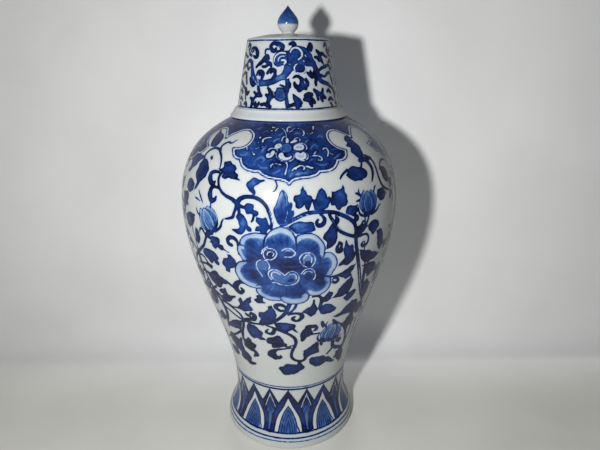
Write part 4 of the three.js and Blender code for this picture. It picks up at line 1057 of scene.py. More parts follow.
COLLAR_POOLS = (
    (22, 281, 7, 0.2), (-14, 301.5, 8, 0.16), (-8, 285.5, 5, 0.12), (30, 287, 7, 0.2), (0, 305, 12, 0.1),
    (20, 304, 10, 0.12), (-22, 287, 5, -0.1), (-18, 281, 5, -0.1), (6, 276, 6, -0.1), (-4, 276.5, 6, -0.08),
    (13, 280, 6, 0.1), (14, 292, 7, 0.1), (-12, 293.5, 6, 0.1), (-29, 287.5, 4, -0.1), (2, 291.5, 5, 0.1),
    (11, 303, 6, 0.08), (-20, 305, 10, 0.1), (38, 305, 12, 0.14), (-38, 305, 12, 0.08), (-4, 280, 4, 0.12),
    (17, 287.5, 4, -0.08),
)
LAPPET_HALF = 46
LAPPET_JOIN = 303
collar_edge = COLLAR_LEFT + COLLAR_EDGE
ground_top = shown_top + UNDER_RIM
ground = [
    *collar_edge, (LAPPET_HALF, LAPPET_JOIN), (LAPPET_HALF, ground_top), (0, ground_top),
    (-LAPPET_HALF, ground_top), (-LAPPET_HALF, LAPPET_JOIN),
]
for turn in (0, 90, 180, 270):
    body.turn = turn
    body.leaf(ground, 0.74, 1.6, 0)
for turn in (0, 90, 180, 270):
    body.turn = turn
    body.pool("tone", COLLAR_POOLS)
    body.strokes(FAINT_IN_COLLAR, tone=0.46)
    body.spares([collar_edge], 0.62)
    body.spares(CURLS_IN_COLLAR)
    for angle, height, size in DOTS_IN_COLLAR:
        body.spares([[(angle, height), (angle + 0.3, height)]], size)
    body.petal(FLOWER_WASH, 0.5, 0.58, 0.2, 2, line=0)
    for points in WHITE_IN_COLLAR:
        body.petal(points, 0, 0.1, 0.6, 1.6, line=0)
    body.strokes(LINES_IN_PETALS, tone=0.6)
    body.leaf(FLOWER_CORE, 0.97, 0, 0)

# The foot band: tall pointed lappets with shorter ones peeping out between, all nested, brushed
# under a double line, and two more lines drawn round the flare on the turning wheel.
LAPPETS = 10
BAND_TURN = -2.4
BAND_TOP = 60.8
BAND_FOOT = 15.3
# The forms are pairs of how far up a side lies and how wide it is there, as shares.
STRAIGHT = (
    (0, 1), (0.3, 0.93), (0.53, 0.74), (0.65, 0.57), (0.76, 0.39), (0.87, 0.21), (1, 0),
)
ROUNDED = (
    (0, 1), (0.25, 0.92), (0.5, 0.74), (0.75, 0.46), (0.9, 0.2), (1, 0),
)
DRAWN_OUT = (
    (0, 1), (0.12, 1), (0.26, 0.93), (0.4, 0.82), (0.54, 0.61), (0.69, 0.36), (0.83, 0.19), (1, 0),
)
BLUNT = ((0, 1), (0.5, 0.55), (1, 0))
SLENDER = ((0, 0.9), (0.4, 0.8), (0.8, 0.4), (1, 0))
BAND_LINES = ((64.6, 0.5), (62.0, 0.95), (BAND_FOOT, 0.6), (11.3, 0.7), (8.1, 0.5))


def arch(middle, half, foot, tip, form):
    """One side, the point and the other side of a lappet of a form."""
    left = [(middle - half * wide, foot + (tip - foot) * rise) for rise, wide in form]
    right = [(middle + half * wide, foot + (tip - foot) * rise) for rise, wide in form]
    return left + right[::-1]


body.turn = BAND_TURN
step = 360 / LAPPETS
for small in [step * k + step / 2 for k in range(LAPPETS)]:
    body.leaf(arch(small, 15, BAND_FOOT, BAND_TOP + 0.4, STRAIGHT), 0.92, 0, 0)
    body.petal(arch(small, 5.4, BAND_FOOT + 2, 53.5, STRAIGHT), 0.46, 0.5, 0.4, 2, line=0)
    body.pool("wash", ((small, 24, 7, -0.08), (small, 44, 4, 0.12)))
    body.spares([arch(small, 5.9, 37, 54, BLUNT)], 0.42)
    body.strokes([arch(small, 4.6, tip - 9.5, tip, BLUNT) for tip in (48.5, 43.5)], 0.4, 0.85)
    body.strokes([arch(small, 3.8, 18, 38, SLENDER)], 0.35, 0.78)
for tall in [step * k for k in range(LAPPETS)]:
    body.leaf(arch(tall, 17.4, BAND_FOOT, BAND_TOP, STRAIGHT), 0.9, 0, 0)
    body.blank(arch(tall, 12.4, BAND_FOOT + 0.8, 51.5, DRAWN_OUT))
    body.petal(arch(tall, 8.9, BAND_FOOT, 41.5, ROUNDED), 0.42, 0.47, 0.2, 2, line=0.5, tone=0.9)
    nested = [arch(tall, half, BAND_FOOT, tip, ROUNDED) for half, tip in ((6.3, 37), (4, 32), (1.8, 26))]
    body.strokes(nested, 0.36, 0.74)
for height, width in BAND_LINES:
    body.band(height, width)


def colour(hex_code):
    """An sRGB hex value turned to the linear colour that the shaders work in."""
    parts = [int(hex_code[k : k + 2], 16) / 255 for k in (1, 3, 5)]
    return [p / 12.92 if p <= 0.04045 else ((p + 0.055) / 1.055) ** 2.4 for p in parts] + [1.0]


def finish_named(name):
    """A new material, and its node tree with nothing in it yet."""
    material = bpy.data.materials.new(name)
    material.use_nodes = True
    material.node_tree.nodes.clear()
    return material, material.node_tree


def node(tree, kind, inputs=(), stops=(), **settings):
    """Adds a shader node with its settings, and sets or links each of its named inputs.

    Stops are the places and colours along a ramp of colours. It gives the node's outputs.
    """
    made = tree.nodes.new("ShaderNode" + kind)
    for name, value in settings.items():
        setattr(made, name, value)
    for _ in stops[2:]:
        made.color_ramp.elements.new(0.5)
    for element, (position, hex_code) in zip(made.color_ramp.elements if stops else (), stops):
        element.position = position
        element.color = colour(hex_code)
    for name, value in dict(inputs).items():
        if isinstance(value, bpy.types.NodeSocket):
            tree.links.new(value, made.inputs[name])
        else:
            made.inputs[name].default_value = value
    return made.outputs


def fire(tree, place, base, grain, strength, depth, finish):
    """Ends a fired material: its colour in a skin with a fine grain of a width and a depth."""
    uneven = node(tree, "TexNoise", {"Vector": place, "Scale": MM / grain})["Fac"]
    uneven = {"Height": uneven, "Strength": strength, "Distance": depth / MM}
    uneven = node(tree, "Bump", uneven)["Normal"]
    skin = node(tree, "BsdfPrincipled", {"Base Color": base, "Normal": uneven, **finish})
    node(tree, "OutputMaterial", {"Surface": skin[0]})


# Cobalt painted on the raw body with a soft brush and fired under a clear glossy glaze. The
# blue pools darker along the edges of a stroke, drifts a little into the glaze, and every
# colour from the palest wash to near black comes from how thick the one pigment lies.
COBALT = (
    (0, "#d5d9d7"), (0.2, "#a2b7d4"), (0.4, "#547ab4"), (0.6, "#22478d"), (0.8, "#142b66"), (1, "#0d1229"),
)
GLAZED = {"grain": 9.0, "strength": 0.25, "depth": 0.2, "finish": {"Roughness": 0.13, "IOR": 1.5}}
BRUSH_WAVER = 3.2
CLOUD = 15.0
STREAK = 4.5
EDGE_BLUR = 0.3
EASED = {"interpolation_type": "SMOOTHSTEP"}
painted_glaze, glaze = finish_named("cobalt_painted_glazed_porcelain")
place = node(glaze, "TexCoord")["Object"]

# A stroke's edge wavers as the brush does, and so does the edge of a line left bare.
waver = node(glaze, "TexNoise", {"Vector": place, "Scale": MM / BRUSH_WAVER})["Fac"]
waver = node(glaze, "Math", {0: waver, 1: 2 * EDGE_BLUR, 2: -EDGE_BLUR}, operation="MULTIPLY_ADD")[0]
ink = node(glaze, "Attribute", attribute_name="ink")["Fac"]
ink = node(glaze, "Math", {0: ink, 1: waver}, operation="ADD")[0]
bare = node(glaze, "Attribute", attribute_name="bare")["Fac"]
bare = node(glaze, "Math", {0: bare, 1: waver}, operation="ADD")[0]
edge = {"Value": ink, "From Min": -EDGE_BLUR, "From Max": EDGE_BLUR, "To Min": 1, "To Max": 0}
in_ink = node(glaze, "MapRange", edge, **EASED)["Result"]
edge = {"Value": bare, "From Min": -EDGE_BLUR, "From Max": EDGE_BLUR, "To Min": 0, "To Max": 1}
not_bare = node(glaze, "MapRange", edge, **EASED)["Result"]

# The pigment is mottled in soft clouds and in finer, drawn-out streaks.
cloud = node(glaze, "TexNoise", {"Vector": place, "Scale": MM / CLOUD, "Detail": 3})["Fac"]
streak = {"Vector": place, "Scale": MM / STREAK, "Distortion": 0.6}
streak = node(glaze, "TexNoise", streak)["Fac"]
streak = node(glaze, "Math", {0: streak, 1: 0.45}, operation="MULTIPLY")[0]
mottle = node(glaze, "Math", {0: cloud, 1: 0.55, 2: streak}, operation="MULTIPLY_ADD")[0]

# The thin wash, and the little blue that drifts out of a stroke into the white round it.
wash = node(glaze, "Attribute", attribute_name="wash")["Fac"]
wash = node(glaze, "Math", {0: wash, 1: not_bare}, operation="MULTIPLY")[0]
uneven = node(glaze, "Math", {0: mottle, 1: 1.1, 2: 0.45}, operation="MULTIPLY_ADD")[0]
wash = node(glaze, "Math", {0: wash, 1: uneven}, operation="MULTIPLY")[0]
fading = {"Value": ink, "From Min": 0.2, "From Max": 2.6, "To Min": 0.06, "To Max": 0}
drift = node(glaze, "MapRange", fading, **EASED)["Result"]
drift = node(glaze, "Math", {0: drift, 1: not_bare}, operation="MULTIPLY")[0]
wash = node(glaze, "Math", {0: wash, 1: drift}, operation="ADD")[0]

# The strokes, darker at their edges, laid over the wash.
pooling = {"Value": ink, "From Min": -1.8, "From Max": -0.2, "To Min": -0.08, "To Max": 0.12}
pooled = node(glaze, "MapRange", pooling, **EASED)["Result"]
tone = node(glaze, "Attribute", attribute_name="tone")["Fac"]
tone = node(glaze, "Math", {0: tone, 1: pooled}, operation="ADD")[0]
uneven = node(glaze, "Math", {0: mottle, 1: 0.5}, operation="SUBTRACT")[0]
tone = node(glaze, "Math", {0: uneven, 1: tone}, operation="ADD")[0]
tone = node(glaze, "Math", {0: tone, 1: wash}, operation="SUBTRACT")[0]
density = {0: tone, 1: in_ink, 2: wash}
density = node(glaze, "Math", density, operation="MULTIPLY_ADD", use_clamp=True)[0]
cobalt = node(glaze, "ValToRGB", {"Fac": density}, COBALT)["Color"]
fire(glaze, place, cobalt, **GLAZED)

# Fired porcelain without glaze, as where the foot's ring is wiped clean: dry, warm white and
# finely gritty, with no shine.
BISCUIT = ((0.3, "#cbbfae"), (0.7, "#ddd6ca"))
BISCUIT_CLOUD = 6.0
GRITTY = {"grain": 0.8, "strength": 0.4, "depth": 0.1, "finish": {"Roughness": 0.75}}
biscuit, dry = finish_named("unglazed_fired_porcelain")
place = node(dry, "TexCoord")["Object"]
cloud = node(dry, "TexNoise", {"Vector": place, "Scale": MM / BISCUIT_CLOUD, "Detail": 4})["Fac"]
warm_white = node(dry, "ValToRGB", {"Fac": cloud}, BISCUIT)["Color"]
fire(dry, place, warm_white, **GRITTY)


def thrown(name, outline, angles, shown, body_name, material):
    """Turns a piece, gives it its finish and puts it on its body."""
    piece, used = turned(name, outline, angles, shown)
    piece.data.materials.append(material)
    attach(piece, body_name)
    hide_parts(name)
    return piece, used


def painted(name, before, art, rows, after, body_name):
    """Turns a piece that shows some rows of a painting, and gives its points their paint."""
    outline = np.vstack([*before, art.outline[rows], *after])
    first, last = len(before), len(outline) - len(after) - 1
    piece, used = thrown(name, outline, art.angles, (first, last), body_name, painted_glaze)
    for kind, plain in (("ink", FAR), ("bare", FAR), ("tone", 0.0), ("wash", 0.0)):
        numbers = np.full((len(outline), len(art.angles)), plain)
        numbers[first : last + 1] = getattr(art, kind)[rows]
        attribute = piece.data.attributes.new(kind, "FLOAT", "POINT")
        attribute.data.foreach_set("value", numbers.ravel()[used])
    return piece


def inside(low, high, count):
    """Points down the inside of the wall, set in by its thickness, from one height to another."""
    height = np.linspace(high, low, count)
    outer = np.interp(np.maximum(height, WAIST_HEIGHT), whole_outline[:, 1], whole_outline[:, 0])
    return np.column_stack([outer - WALL, height])


# The foot section stands on a turned ring, wiped free of glaze, round a sunken base. Its floor
# rises to the wall in one round.
RING_WIDTH = 7.0
BASE_RECESS = 6.0
FLOOR_TOP = 14.0
FLOOR_ROUND = 10.0
# The turned step from the base to the ring's edge: radius past the ring's inside, and height.
RING_STEP = ((-3, BASE_RECESS), (-1.6, 5.6), (-1, 4.6), (-0.4, 1.0), (0, 0.3), (0.6, 0))
GLAZE_STOPS = 2
ring_inner = painted_rows[0, 0] - RING_WIDTH
foot_under = [(radius, BASE_RECESS) for radius in (0, 15, 30, 45)]
foot_under += [(ring_inner + past, height) for past, height in RING_STEP]
floor_edge = WAIST_RADIUS - WALL
foot_floor = bezier(
    (floor_edge, FLOOR_TOP + FLOOR_ROUND), (floor_edge, FLOOR_TOP + 0.1 * FLOOR_ROUND),
    (floor_edge - 0.16 * FLOOR_ROUND, FLOOR_TOP), (floor_edge - FLOOR_ROUND, FLOOR_TOP), 8,
)
foot_wall = inside(FLOOR_TOP + 1.2 * FLOOR_ROUND, foot_top, 10)
foot_inside = [*foot_wall, *foot_floor, (20, FLOOR_TOP), (0, FLOOR_TOP)]
foot_end = len(foot_rows)
foot = painted(
    "foot_section", foot_under, body, slice(0, foot_end), foot_inside, "bottle"
)
foot.data.materials.append(biscuit)
in_ring = np.zeros(len(foot.data.polygons) // len(body.angles), np.int32)
in_ring[len(foot_under) - GLAZE_STOPS : len(foot_under)] = 1
foot.data.polygons.foreach_set("material_index", np.repeat(in_ring, len(body.angles)))

# The belly section is a plain widening tube, thrown by itself and luted on the foot.
belly_end = foot_end + len(belly_rows) - 1
belly_inside = inside(belly_bottom, belly_top, 12)
painted(
    "belly_section", [], body, slice(foot_end - 1, belly_end), belly_inside, "bottle"
)

# The shoulder section closes in to an open throat. Its inside is the outside's dome, set in by
# the wall along the way that each point of it faces.
THROAT_RADIUS = 21.0
slope = np.gradient(dome, axis=0)[::100]
slope = slope / np.hypot(*slope.T)[:, None]
dome_inside = dome[::100] + WALL * np.column_stack([-slope[:, 1], slope[:, 0]])
dome_inside = dome_inside[dome_inside[:, 0] > NECK_ROOT_RADIUS]
throat = [(THROAT_RADIUS, neck_root_height), (THROAT_RADIUS, dome_inside[-1, 1])]
shoulder_inside = [*throat, *dome_inside[::-1], *inside(shoulder_bottom, BELLY_HEIGHT, 4)[1:]]
painted(
    "shoulder_section", [], body, slice(belly_end - 1, None), shoulder_inside, "bottle"
)

# The neck. A short waisted ring with a rolled lip, thrown in the same porcelain, luted over the
# throat and glazed all over, a cool and glossy white. The cover hides it until it is lifted off.
NECK_WAIST_RADIUS = 25.0
LIP_THICKNESS = 6.0
LIP_ROUND = 3.0
MOUTH_ROUND = 1.5
GLAZED_WHITE = ((0.3, "#d5dbde"), (0.7, "#dfe2e0"))
WHITE_CLOUD = 22.0
white_glaze, white = finish_named("clear_glazed_white_porcelain")
place = node(white, "TexCoord")["Object"]
cloud = node(white, "TexNoise", {"Vector": place, "Scale": MM / WHITE_CLOUD})["Fac"]
cool_white = node(white, "ValToRGB", {"Fac": cloud}, GLAZED_WHITE)["Color"]
fire(white, place, cool_white, **GLAZED)

lip_under = mouth_height - LIP_THICKNESS
neck_middle = (neck_root_height + lip_under) / 2
neck_quarter = (neck_middle - neck_root_height) / 2
neck_outside = bezier(
    (NECK_ROOT_RADIUS, neck_root_height), (NECK_WAIST_RADIUS, neck_root_height + neck_quarter),
    (NECK_WAIST_RADIUS, neck_middle), (NECK_WAIST_RADIUS, neck_middle + neck_quarter), 16,
)
lip_below = [(lip_radius - LIP_ROUND, lip_under), (lip_radius - LIP_ROUND / 3, lip_under + 0.4)]
lip = bezier(
    (lip_radius, lip_under + LIP_ROUND / 2), (lip_radius, mouth_height - LIP_ROUND / 2),
    (lip_radius, mouth_height), (lip_radius - LIP_ROUND, mouth_height), 12,
)
neck_shown = [*neck_outside, *lip_below, *lip]
neck_rows = (0, len(neck_shown))
neck_outline = np.array([
    *neck_shown,
    (THROAT_RADIUS + MOUTH_ROUND, mouth_height),
    (THROAT_RADIUS + MOUTH_ROUND / 3, mouth_height - 0.4 * MOUTH_ROUND),
    (THROAT_RADIUS, mouth_height - 2 * MOUTH_ROUND),
    (THROAT_RADIUS, mouth_height - 8 * MOUTH_ROUND),
    (THROAT_RADIUS, neck_root_height),
])
thrown("neck_ring", neck_outline, round_angles(128), neck_rows, "bottle", white_glaze)

# The cover's cap. A tall tapered cup thrown upside down, with a gently domed roof, painted with
# its own dense scroll between two lines and glazed inside and out.
CAP_WALL = 4.0
CAP_TAPER = 10.0
ROOF_THICKNESS = 7.0
ROOF_RISE = 3.6
ROOF_EDGE_ROUND = 1.8
ROOF_MIDDLE = 3.0
HOLLOW_ROUND = 5.0
CAP_SPACING = 0.6
HAIR = 1e-3
cap_foot, cap_top, cap_foot_radius = measured("cover_cap")
cap_top_radius = cap_foot_radius - CAP_TAPER
cap_inner_radius = cap_foot_radius - CAP_WALL
roof_edge = cap_top - ROOF_RISE
roof_edge_radius = cap_top_radius - ROOF_EDGE_ROUND
roof_under = cap_top - ROOF_THICKNESS
side_top = roof_edge - ROOF_EDGE_ROUND
cap_side = np.linspace((cap_foot_radius, cap_foot), (cap_top_radius, side_top), 200)
roof_round = bezier(
    (cap_top_radius, side_top), (cap_top_radius - 0.3, roof_edge - 0.7),
    (cap_top_radius - 0.6, roof_edge - 0.2), (roof_edge_radius, roof_edge), 20,
)
# The roof ends a hair above its top, so that heights go on rising along the outline.
roof = bezier(
    (roof_edge_radius, roof_edge), (roof_edge_radius / 2, cap_top), (roof_edge_radius / 2, cap_top),
    (ROOF_MIDDLE, cap_top + HAIR), 100,
)
cap_outside = np.vstack([cap_side, roof_round[1:], roof[1:]])
cap_rows = spaced(cap_outside, cap_foot, cap_top + HAIR, CAP_SPACING)
cap_rows[:, 1] = np.minimum(cap_rows[:, 1], cap_top + 1e-6 * np.arange(len(cap_rows)))
hollow_radius = cap_top_radius - CAP_WALL
hollow_top = roof_under - HOLLOW_ROUND
cap_hollow = bezier(
    (hollow_radius - HOLLOW_ROUND, roof_under), (hollow_radius, roof_under), (hollow_radius, roof_under),
    (hollow_radius, hollow_top), 8,
)
cap_wall = np.linspace((hollow_radius, hollow_top), (cap_inner_radius, cap_foot), 8)[1:]
cap_under = [(0, roof_under), (12, roof_under), (20, roof_under), *cap_hollow, *cap_wall]
cap = Painting(round_angles(480, crowd=0.14), cap_rows)

CAP_VINES = [
    [(-61, 353.6, 0.8), (-56, 355.4, 1), (-51, 353.6, 1.3), (-49, 349, 1.5), (-46.6, 344, 2),
     (-42.5, 340.2, 2.2), (-36, 338.4, 2.1), (-28, 338, 2.1), (-20, 338.9, 2.1), (-13, 341, 2.2),
     (-7, 343.8, 2.5), (-3, 347, 2.9)],
    [(13, 365.2, 0.8), (19.5, 363.8, 1.2), (24, 361.2, 1.6), (27.4, 358, 1.8), (30, 354.8, 1.9),
     (33, 351.2, 2), (35.4, 347.2, 2.1), (37, 343.4, 2.1), (40, 340, 1.8), (45, 338.4, 1.4), (51, 337, 1.2),
     (57, 334.6, 1), (61, 333, 0.8)], [(18.5, 357.2, 1.3), (22, 355.8, 1.2), (26, 354.4, 1.4)],
    [(21, 352.8, 1.3), (25.6, 352.8, 1.7), (29.4, 353, 1.7)],
    [(-1.4, 340.8, 1.5), (-0.8, 337.4, 1.7), (-1.8, 334, 1.5), (-2.6, 330.4, 1.3), (-2.4, 326.4, 1.1),
     (-1.6, 322.6, 1), (0, 320.4, 0.9)],
    [(40, 348, 0.7), (44.6, 349.6, 0.9), (50, 350.4, 0.9), (56, 351.6, 0.8), (61, 351, 0.6)],
    [(42, 343.8, 0.7), (48, 342.8, 0.6), (54, 345.4, 0.7), (60, 345, 0.9)],
    [(-9, 336.6, 0.3), (-5.6, 335.6, 0.5), (-3, 333.2, 0.7)],
    [(-61, 362.4, 0.4), (-58, 360.2, 0.5), (-53, 359, 0.6)],
]
CAP_DABS = [
    [(-56, 362.4, 0.5), (-53.5, 364.3, 0.7), (-49, 365, 0.9), (-45, 364, 1.2), (-42.4, 361.5, 1.5),
     (-41.6, 359, 1.4), (-45, 357.8, 0.9), (-49, 358.6, 0.6)], [(-52.4, 361.8, 0.5), (-50, 362.8, 0.6)],
    [(-41.6, 350.2, 0.6), (-38.5, 352, 1.1), (-34.5, 353.6, 1.3), (-31, 355.2, 1.4), (-28.4, 357.6, 1.3),
     (-26, 358.4, 0.9), (-24.2, 356.4, 0.6)],
    [(-28.4, 355, 1.2), (-24.6, 353.4, 1.3), (-21.6, 352.4, 1.1), (-20.2, 350.8, 0.7)],
    [(-31.8, 350.6, 0.7), (-28.4, 350.5, 0.9), (-25, 352, 0.9)],
    [(-29.8, 360.4, 0.35), (-29.4, 362.8, 0.4), (-27.4, 363.9, 0.4), (-25.6, 363.4, 0.3)],
    [(-39.6, 343.9, 0.4), (-38.6, 346.3, 0.7), (-35.5, 347, 1), (-32, 346.2, 1.3), (-30.5, 344, 1.2),
     (-31.8, 341.6, 1.2)], [(-35.8, 344.2, 0.5), (-34, 344.8, 0.5)],
    [(-21, 345.4, 0.3), (-19.6, 345.9, 0.4)],
    [(-24.6, 345.6, 0.7), (-22.6, 347.6, 0.9), (-19, 348.6, 1.1), (-16, 347.2, 1.2), (-15.6, 344.6, 1.1),
     (-17.6, 342, 1.2)], [(-50.4, 341, 1), (-48.2, 338.5, 1.5), (-45.4, 336.6, 1.5), (-42.2, 337, 1.2)],
    [(-60.4, 345.6, 0.7), (-58.8, 341, 1), (-56.6, 337, 0.8)],
    [(-22.8, 363.8, 0.5), (-21.8, 366.4, 1), (-18.4, 367.9, 1.1), (-14, 367.6, 1.3), (-10.5, 367.1, 1.7),
     (-7.8, 365.4, 1.8), (-7.4, 362.8, 0.9)],
    [(-21.8, 364.8, 1.1), (-19.4, 362.7, 1.4), (-16.6, 362.6, 1.1), (-15.6, 364, 0.6)],
    [(2.2, 367.4, 0.7), (5, 368.1, 1), (8, 367.4, 0.9), (9.8, 366.6, 0.5)],
    [(5.6, 366.8, 0.8), (8, 365.2, 1.1), (13, 365, 0.9)],
    [(25.6, 362.8, 0.8), (27, 365.4, 1.3), (29.4, 367, 1.5), (31, 365, 1.2), (29.8, 363, 0.8)],
    [(33.6, 341, 1.3), (32.9, 338.4, 1.2), (32.5, 336.4, 0.8)],
    [(38.4, 362.8, 0.7), (41, 361.4, 1.1), (45, 360, 1.3), (49, 360.6, 1), (53, 358.9, 0.7),
     (58, 357.9, 0.5)], [(42, 360, 1.3), (43.4, 357, 1.5), (46, 354.4, 1.2), (47.6, 352.8, 0.8)],
    [(34.4, 357.6, 0.7), (38, 357.5, 1.1), (41.6, 355.6, 1.2)],
    [(54.4, 366.2, 0.7), (57, 368, 1.1), (60.4, 367, 1), (61, 364.6, 0.8), (58, 363.4, 0.6)],
    [(23.2, 345.6, 0.8), (25.4, 344.2, 1.3), (28.4, 343.2, 1.5), (31, 344.6, 1.2), (31.8, 346.8, 0.7)],
    [(26.6, 347, 0.5), (27.2, 345, 0.8)],
    [(5.2, 341.8, 0.4), (8.4, 343, 0.8), (12, 342.7, 1), (15, 341, 1.5), (16.2, 338, 2.2),
     (14.8, 335.2, 2.4), (12.2, 332.8, 1.7)],
    [(12.8, 334.4, 1.8), (9.4, 335.2, 1.4), (7.2, 336.8, 1), (6.6, 338.6, 0.5)],
    [(17.4, 337, 1.6), (20.6, 336.2, 1.4), (22, 338.4, 1.1), (20.4, 341.2, 0.6)],
    [(16.6, 334.4, 1.2), (19.8, 333.8, 1)], [(0.6, 337.6, 1.3), (1.2, 335.4, 0.9)],
    [(5.2, 329.2, 0.7), (6.8, 327, 1.5), (9, 324.4, 2), (9.4, 321.4, 1.9), (9.6, 318.9, 1)],
    [(6.8, 322, 1.3), (2.6, 321, 1), (-1.4, 320.2, 0.9)], [(11.4, 325, 1.1), (13.6, 323, 1.1)],
    [(10.4, 320, 1), (12.6, 320.4, 0.7)],
    [(16.8, 325.2, 1), (20, 325.6, 1.7), (23.4, 325.6, 2.2), (26.4, 324.6, 1.8), (28.6, 322.8, 0.9)],
    [(19, 328.6, 1.4), (22.8, 329.4, 1.5), (26, 329, 1.2)], [(24.6, 322.6, 1.5), (25.2, 320.2, 0.9)],
    [(29.4, 332.8, 0.7), (32.4, 331, 1.3), (35.6, 329.4, 1.6), (39, 328.4, 1.8), (42.6, 327, 1.4),
     (44.8, 326, 0.7)], [(41.8, 332.8, 0.7), (40.6, 330, 1.2)], [(33, 328, 1.2), (33.8, 325.2, 0.8)],
    [(38, 326, 1.1), (39.6, 323.8, 0.7)],
    [(-23.2, 334.2, 0.7), (-21, 332.4, 1.1), (-19.6, 329.8, 1.5), (-20.6, 326.6, 1.8), (-22, 323.6, 1.4),
     (-20.8, 320.6, 0.8)], [(-24.8, 328.8, 0.8), (-22, 327.6, 1.3)],
    [(-17.2, 330.6, 1), (-17.4, 327.4, 1.2)],
    [(-29.8, 321.2, 1), (-26.4, 321.6, 1.2), (-23, 321, 1.2), (-19.4, 320.2, 0.8)],
    [(-36.6, 335.8, 0.5), (-35, 332.8, 1.1), (-33.4, 329.8, 1.4), (-31, 328.2, 1)],
    [(-41, 330.6, 0.8), (-37.6, 329.2, 1.3), (-34, 328.4, 1.3)], [(-39, 327, 0.8), (-37, 328, 1)],
    [(-46.2, 326.2, 0.7), (-43.4, 325, 1.2), (-42.6, 322.4, 1.3), (-43.6, 319.8, 1)],
    [(-40.2, 326, 0.8), (-42, 324, 1)],
    [(-38.2, 322.6, 0.9), (-37.4, 320.4, 1.4), (-34.6, 321, 1), (-33.4, 322.8, 0.5)],
    [(-58.6, 331.8, 0.7), (-55.6, 330, 1.2), (-52.6, 329, 1.2), (-50.2, 330.4, 0.6)],
    [(-56.6, 333.6, 0.6), (-55.6, 331, 1)], [(-56, 327.6, 0.9), (-55.6, 325.2, 0.6)],
    [(50, 324.4, 0.8), (54, 325.6, 1), (58, 324, 0.8)], [(53, 321.6, 0.8), (55.6, 319.4, 0.7)],
    [(-57, 321, 0.7), (-54, 322, 0.9), (-52.2, 319.8, 0.8)],
    [(48.6, 331, 0.8), (52, 332, 1.1), (55.4, 330, 0.9)], [(-14, 362, 0.3), (-9, 362.6, 0.35)],
    [(-54, 349.6, 0.5), (-57, 348.4, 0.8), (-60, 350, 0.7)],
]
CAP_FLOWER = [
    (-3, 361.4), (0.7, 362.7), (3.7, 365.1), (8.9, 366.2), (16.3, 365.5), (19.6, 363.6), (20.6, 360.8),
    (19.6, 357.3), (17.8, 355), (20, 352.9), (21.8, 349.2), (19.6, 345.6), (13.4, 344.8), (8, 346.8),
    (5.9, 347.5), (1.4, 343.5), (-2.3, 340.6), (-9, 340), (-15, 341.3), (-12, 343.6), (-8.5, 346),
    (-6, 349.2), (-4.5, 352.5),
]
FLOWER_HEART = [(9.4, 350.5), (12, 352.4), (16.5, 352), (19.4, 349.6), (18, 347), (13.4, 346.4), (10, 347.8)]
PALE_PETAL = [
    (-18, 355), (-17.2, 358), (-14, 360.8), (-9, 362), (-3, 361.9), (-1, 359.5), (-1, 355), (-3.5, 352.2),
    (-7.5, 351.8), (-12, 350.8), (-16.5, 352.4),
]
CAP_BUD = [
    (-14.8, 327), (-14.4, 330.4), (-13, 332.2), (-12.4, 334), (-9, 334.2), (-5.4, 333.6), (-4, 330.8),
    (-3.4, 327), (-5.4, 325.2), (-9, 324.4), (-12.5, 325.4),
]
BUD_STRIPES = [[(x, 332.8, 0.5), (x - 0.6, 329.5, 0.25), (x, 326.5, 0.2)] for x in (-12, -9.6, -7.4, -5.4)]
CAP_POOLS = (
    (-33, 338, 5, -0.14), (-45, 341.5, 4, -0.16), (-12, 341.5, 5, -0.12), (-1, 346, 5, -0.06),
    (9, 358, 4, 0.08), (15, 359, 3, 0.14), (2, 355, 4, 0.04), (27, 353, 5, -0.08), (-21, 328, 3, -0.12),
    (-27, 355, 4, 0.06),
    (10, 322, 3, -0.08), (24, 325, 4, 0.06), (36, 328, 4, -0.05), (13, 334, 3, 0.08), (18, 337, 2.5, -0.2),
    (46, 358, 4, -0.06), (-37, 321, 3, -0.06), (-10, 365, 3, -0.08), (-48, 348, 4, -0.06),
)
WHITE_IN_CAP = [
    [(2.6, 361.2, 0.5), (4.4, 363.4, 0.6), (8.2, 364.7, 0.65), (12.6, 364.3, 0.7), (16.3, 362, 0.75),
     (17.1, 359.4, 0.75), (15.4, 357.3, 0.7), (12, 355.8, 0.5)],
    [(7.9, 347.2, 0.35), (6.9, 349.4, 0.5), (8.2, 351.4, 0.5), (10.6, 352.5, 0.4)],
    [(20.4, 351, 0.4), (21, 348.6, 0.5), (18.8, 346.3, 0.5), (14.5, 345.4, 0.5), (10, 346, 0.4)],
    [(5.6, 346.8, 0.6), (3.4, 344.8, 0.75), (0.8, 342.9, 0.7), (-1.5, 341.6, 0.4)],
    [(-5.8, 350.4, 0.5), (-7, 347.8, 0.6), (-9.3, 345.6, 0.6), (-12.3, 344.4, 0.4)],
    [(-17.2, 354, 0.4), (-17, 356.8, 0.5), (-14.4, 359.3, 0.55), (-9.4, 360.9, 0.6), (-3.6, 360.7, 0.5)],
    [(-12.2, 354.5, 0.25), (-11.6, 356.6, 0.35), (-8.8, 358.2, 0.35), (-4.2, 358.4, 0.25)],
    [(-8, 355.3, 0.5), (-5, 355.4, 0.85), (-2.9, 354, 0.75), (-4.6, 352.6, 0.7)],
    [(0.6, 352.3, 0.25), (2.6, 352.2, 0.25)], [(-9.5, 339.3, 0.3), (-6.5, 338.4, 0.8), (-4.2, 336.6, 0.5)],
    [(17.8, 339.5, 0.3), (19, 337.8, 0.45)], [(-31.5, 352.4, 0.2), (-29, 352.8, 0.35), (-26.8, 352.6, 0.2)],
    [(-47, 341.8, 0.25), (-42, 339.8, 0.3), (-38, 337, 0.35), (-35, 336, 0.25)],
    [(-40, 343, 0.25), (-37.5, 340.5, 0.35), (-36.6, 337.6, 0.25)], [(-17, 331.5, 0.25), (-15.5, 329, 0.35)],
    [(-12.5, 366.4, 0.2), (-9.5, 364.8, 0.3)], [(-37.2, 338.8, 0.2), (-35.4, 336.8, 0.35)],
    [(-46.5, 343, 0.3), (-44, 341.6, 0.35)],
]
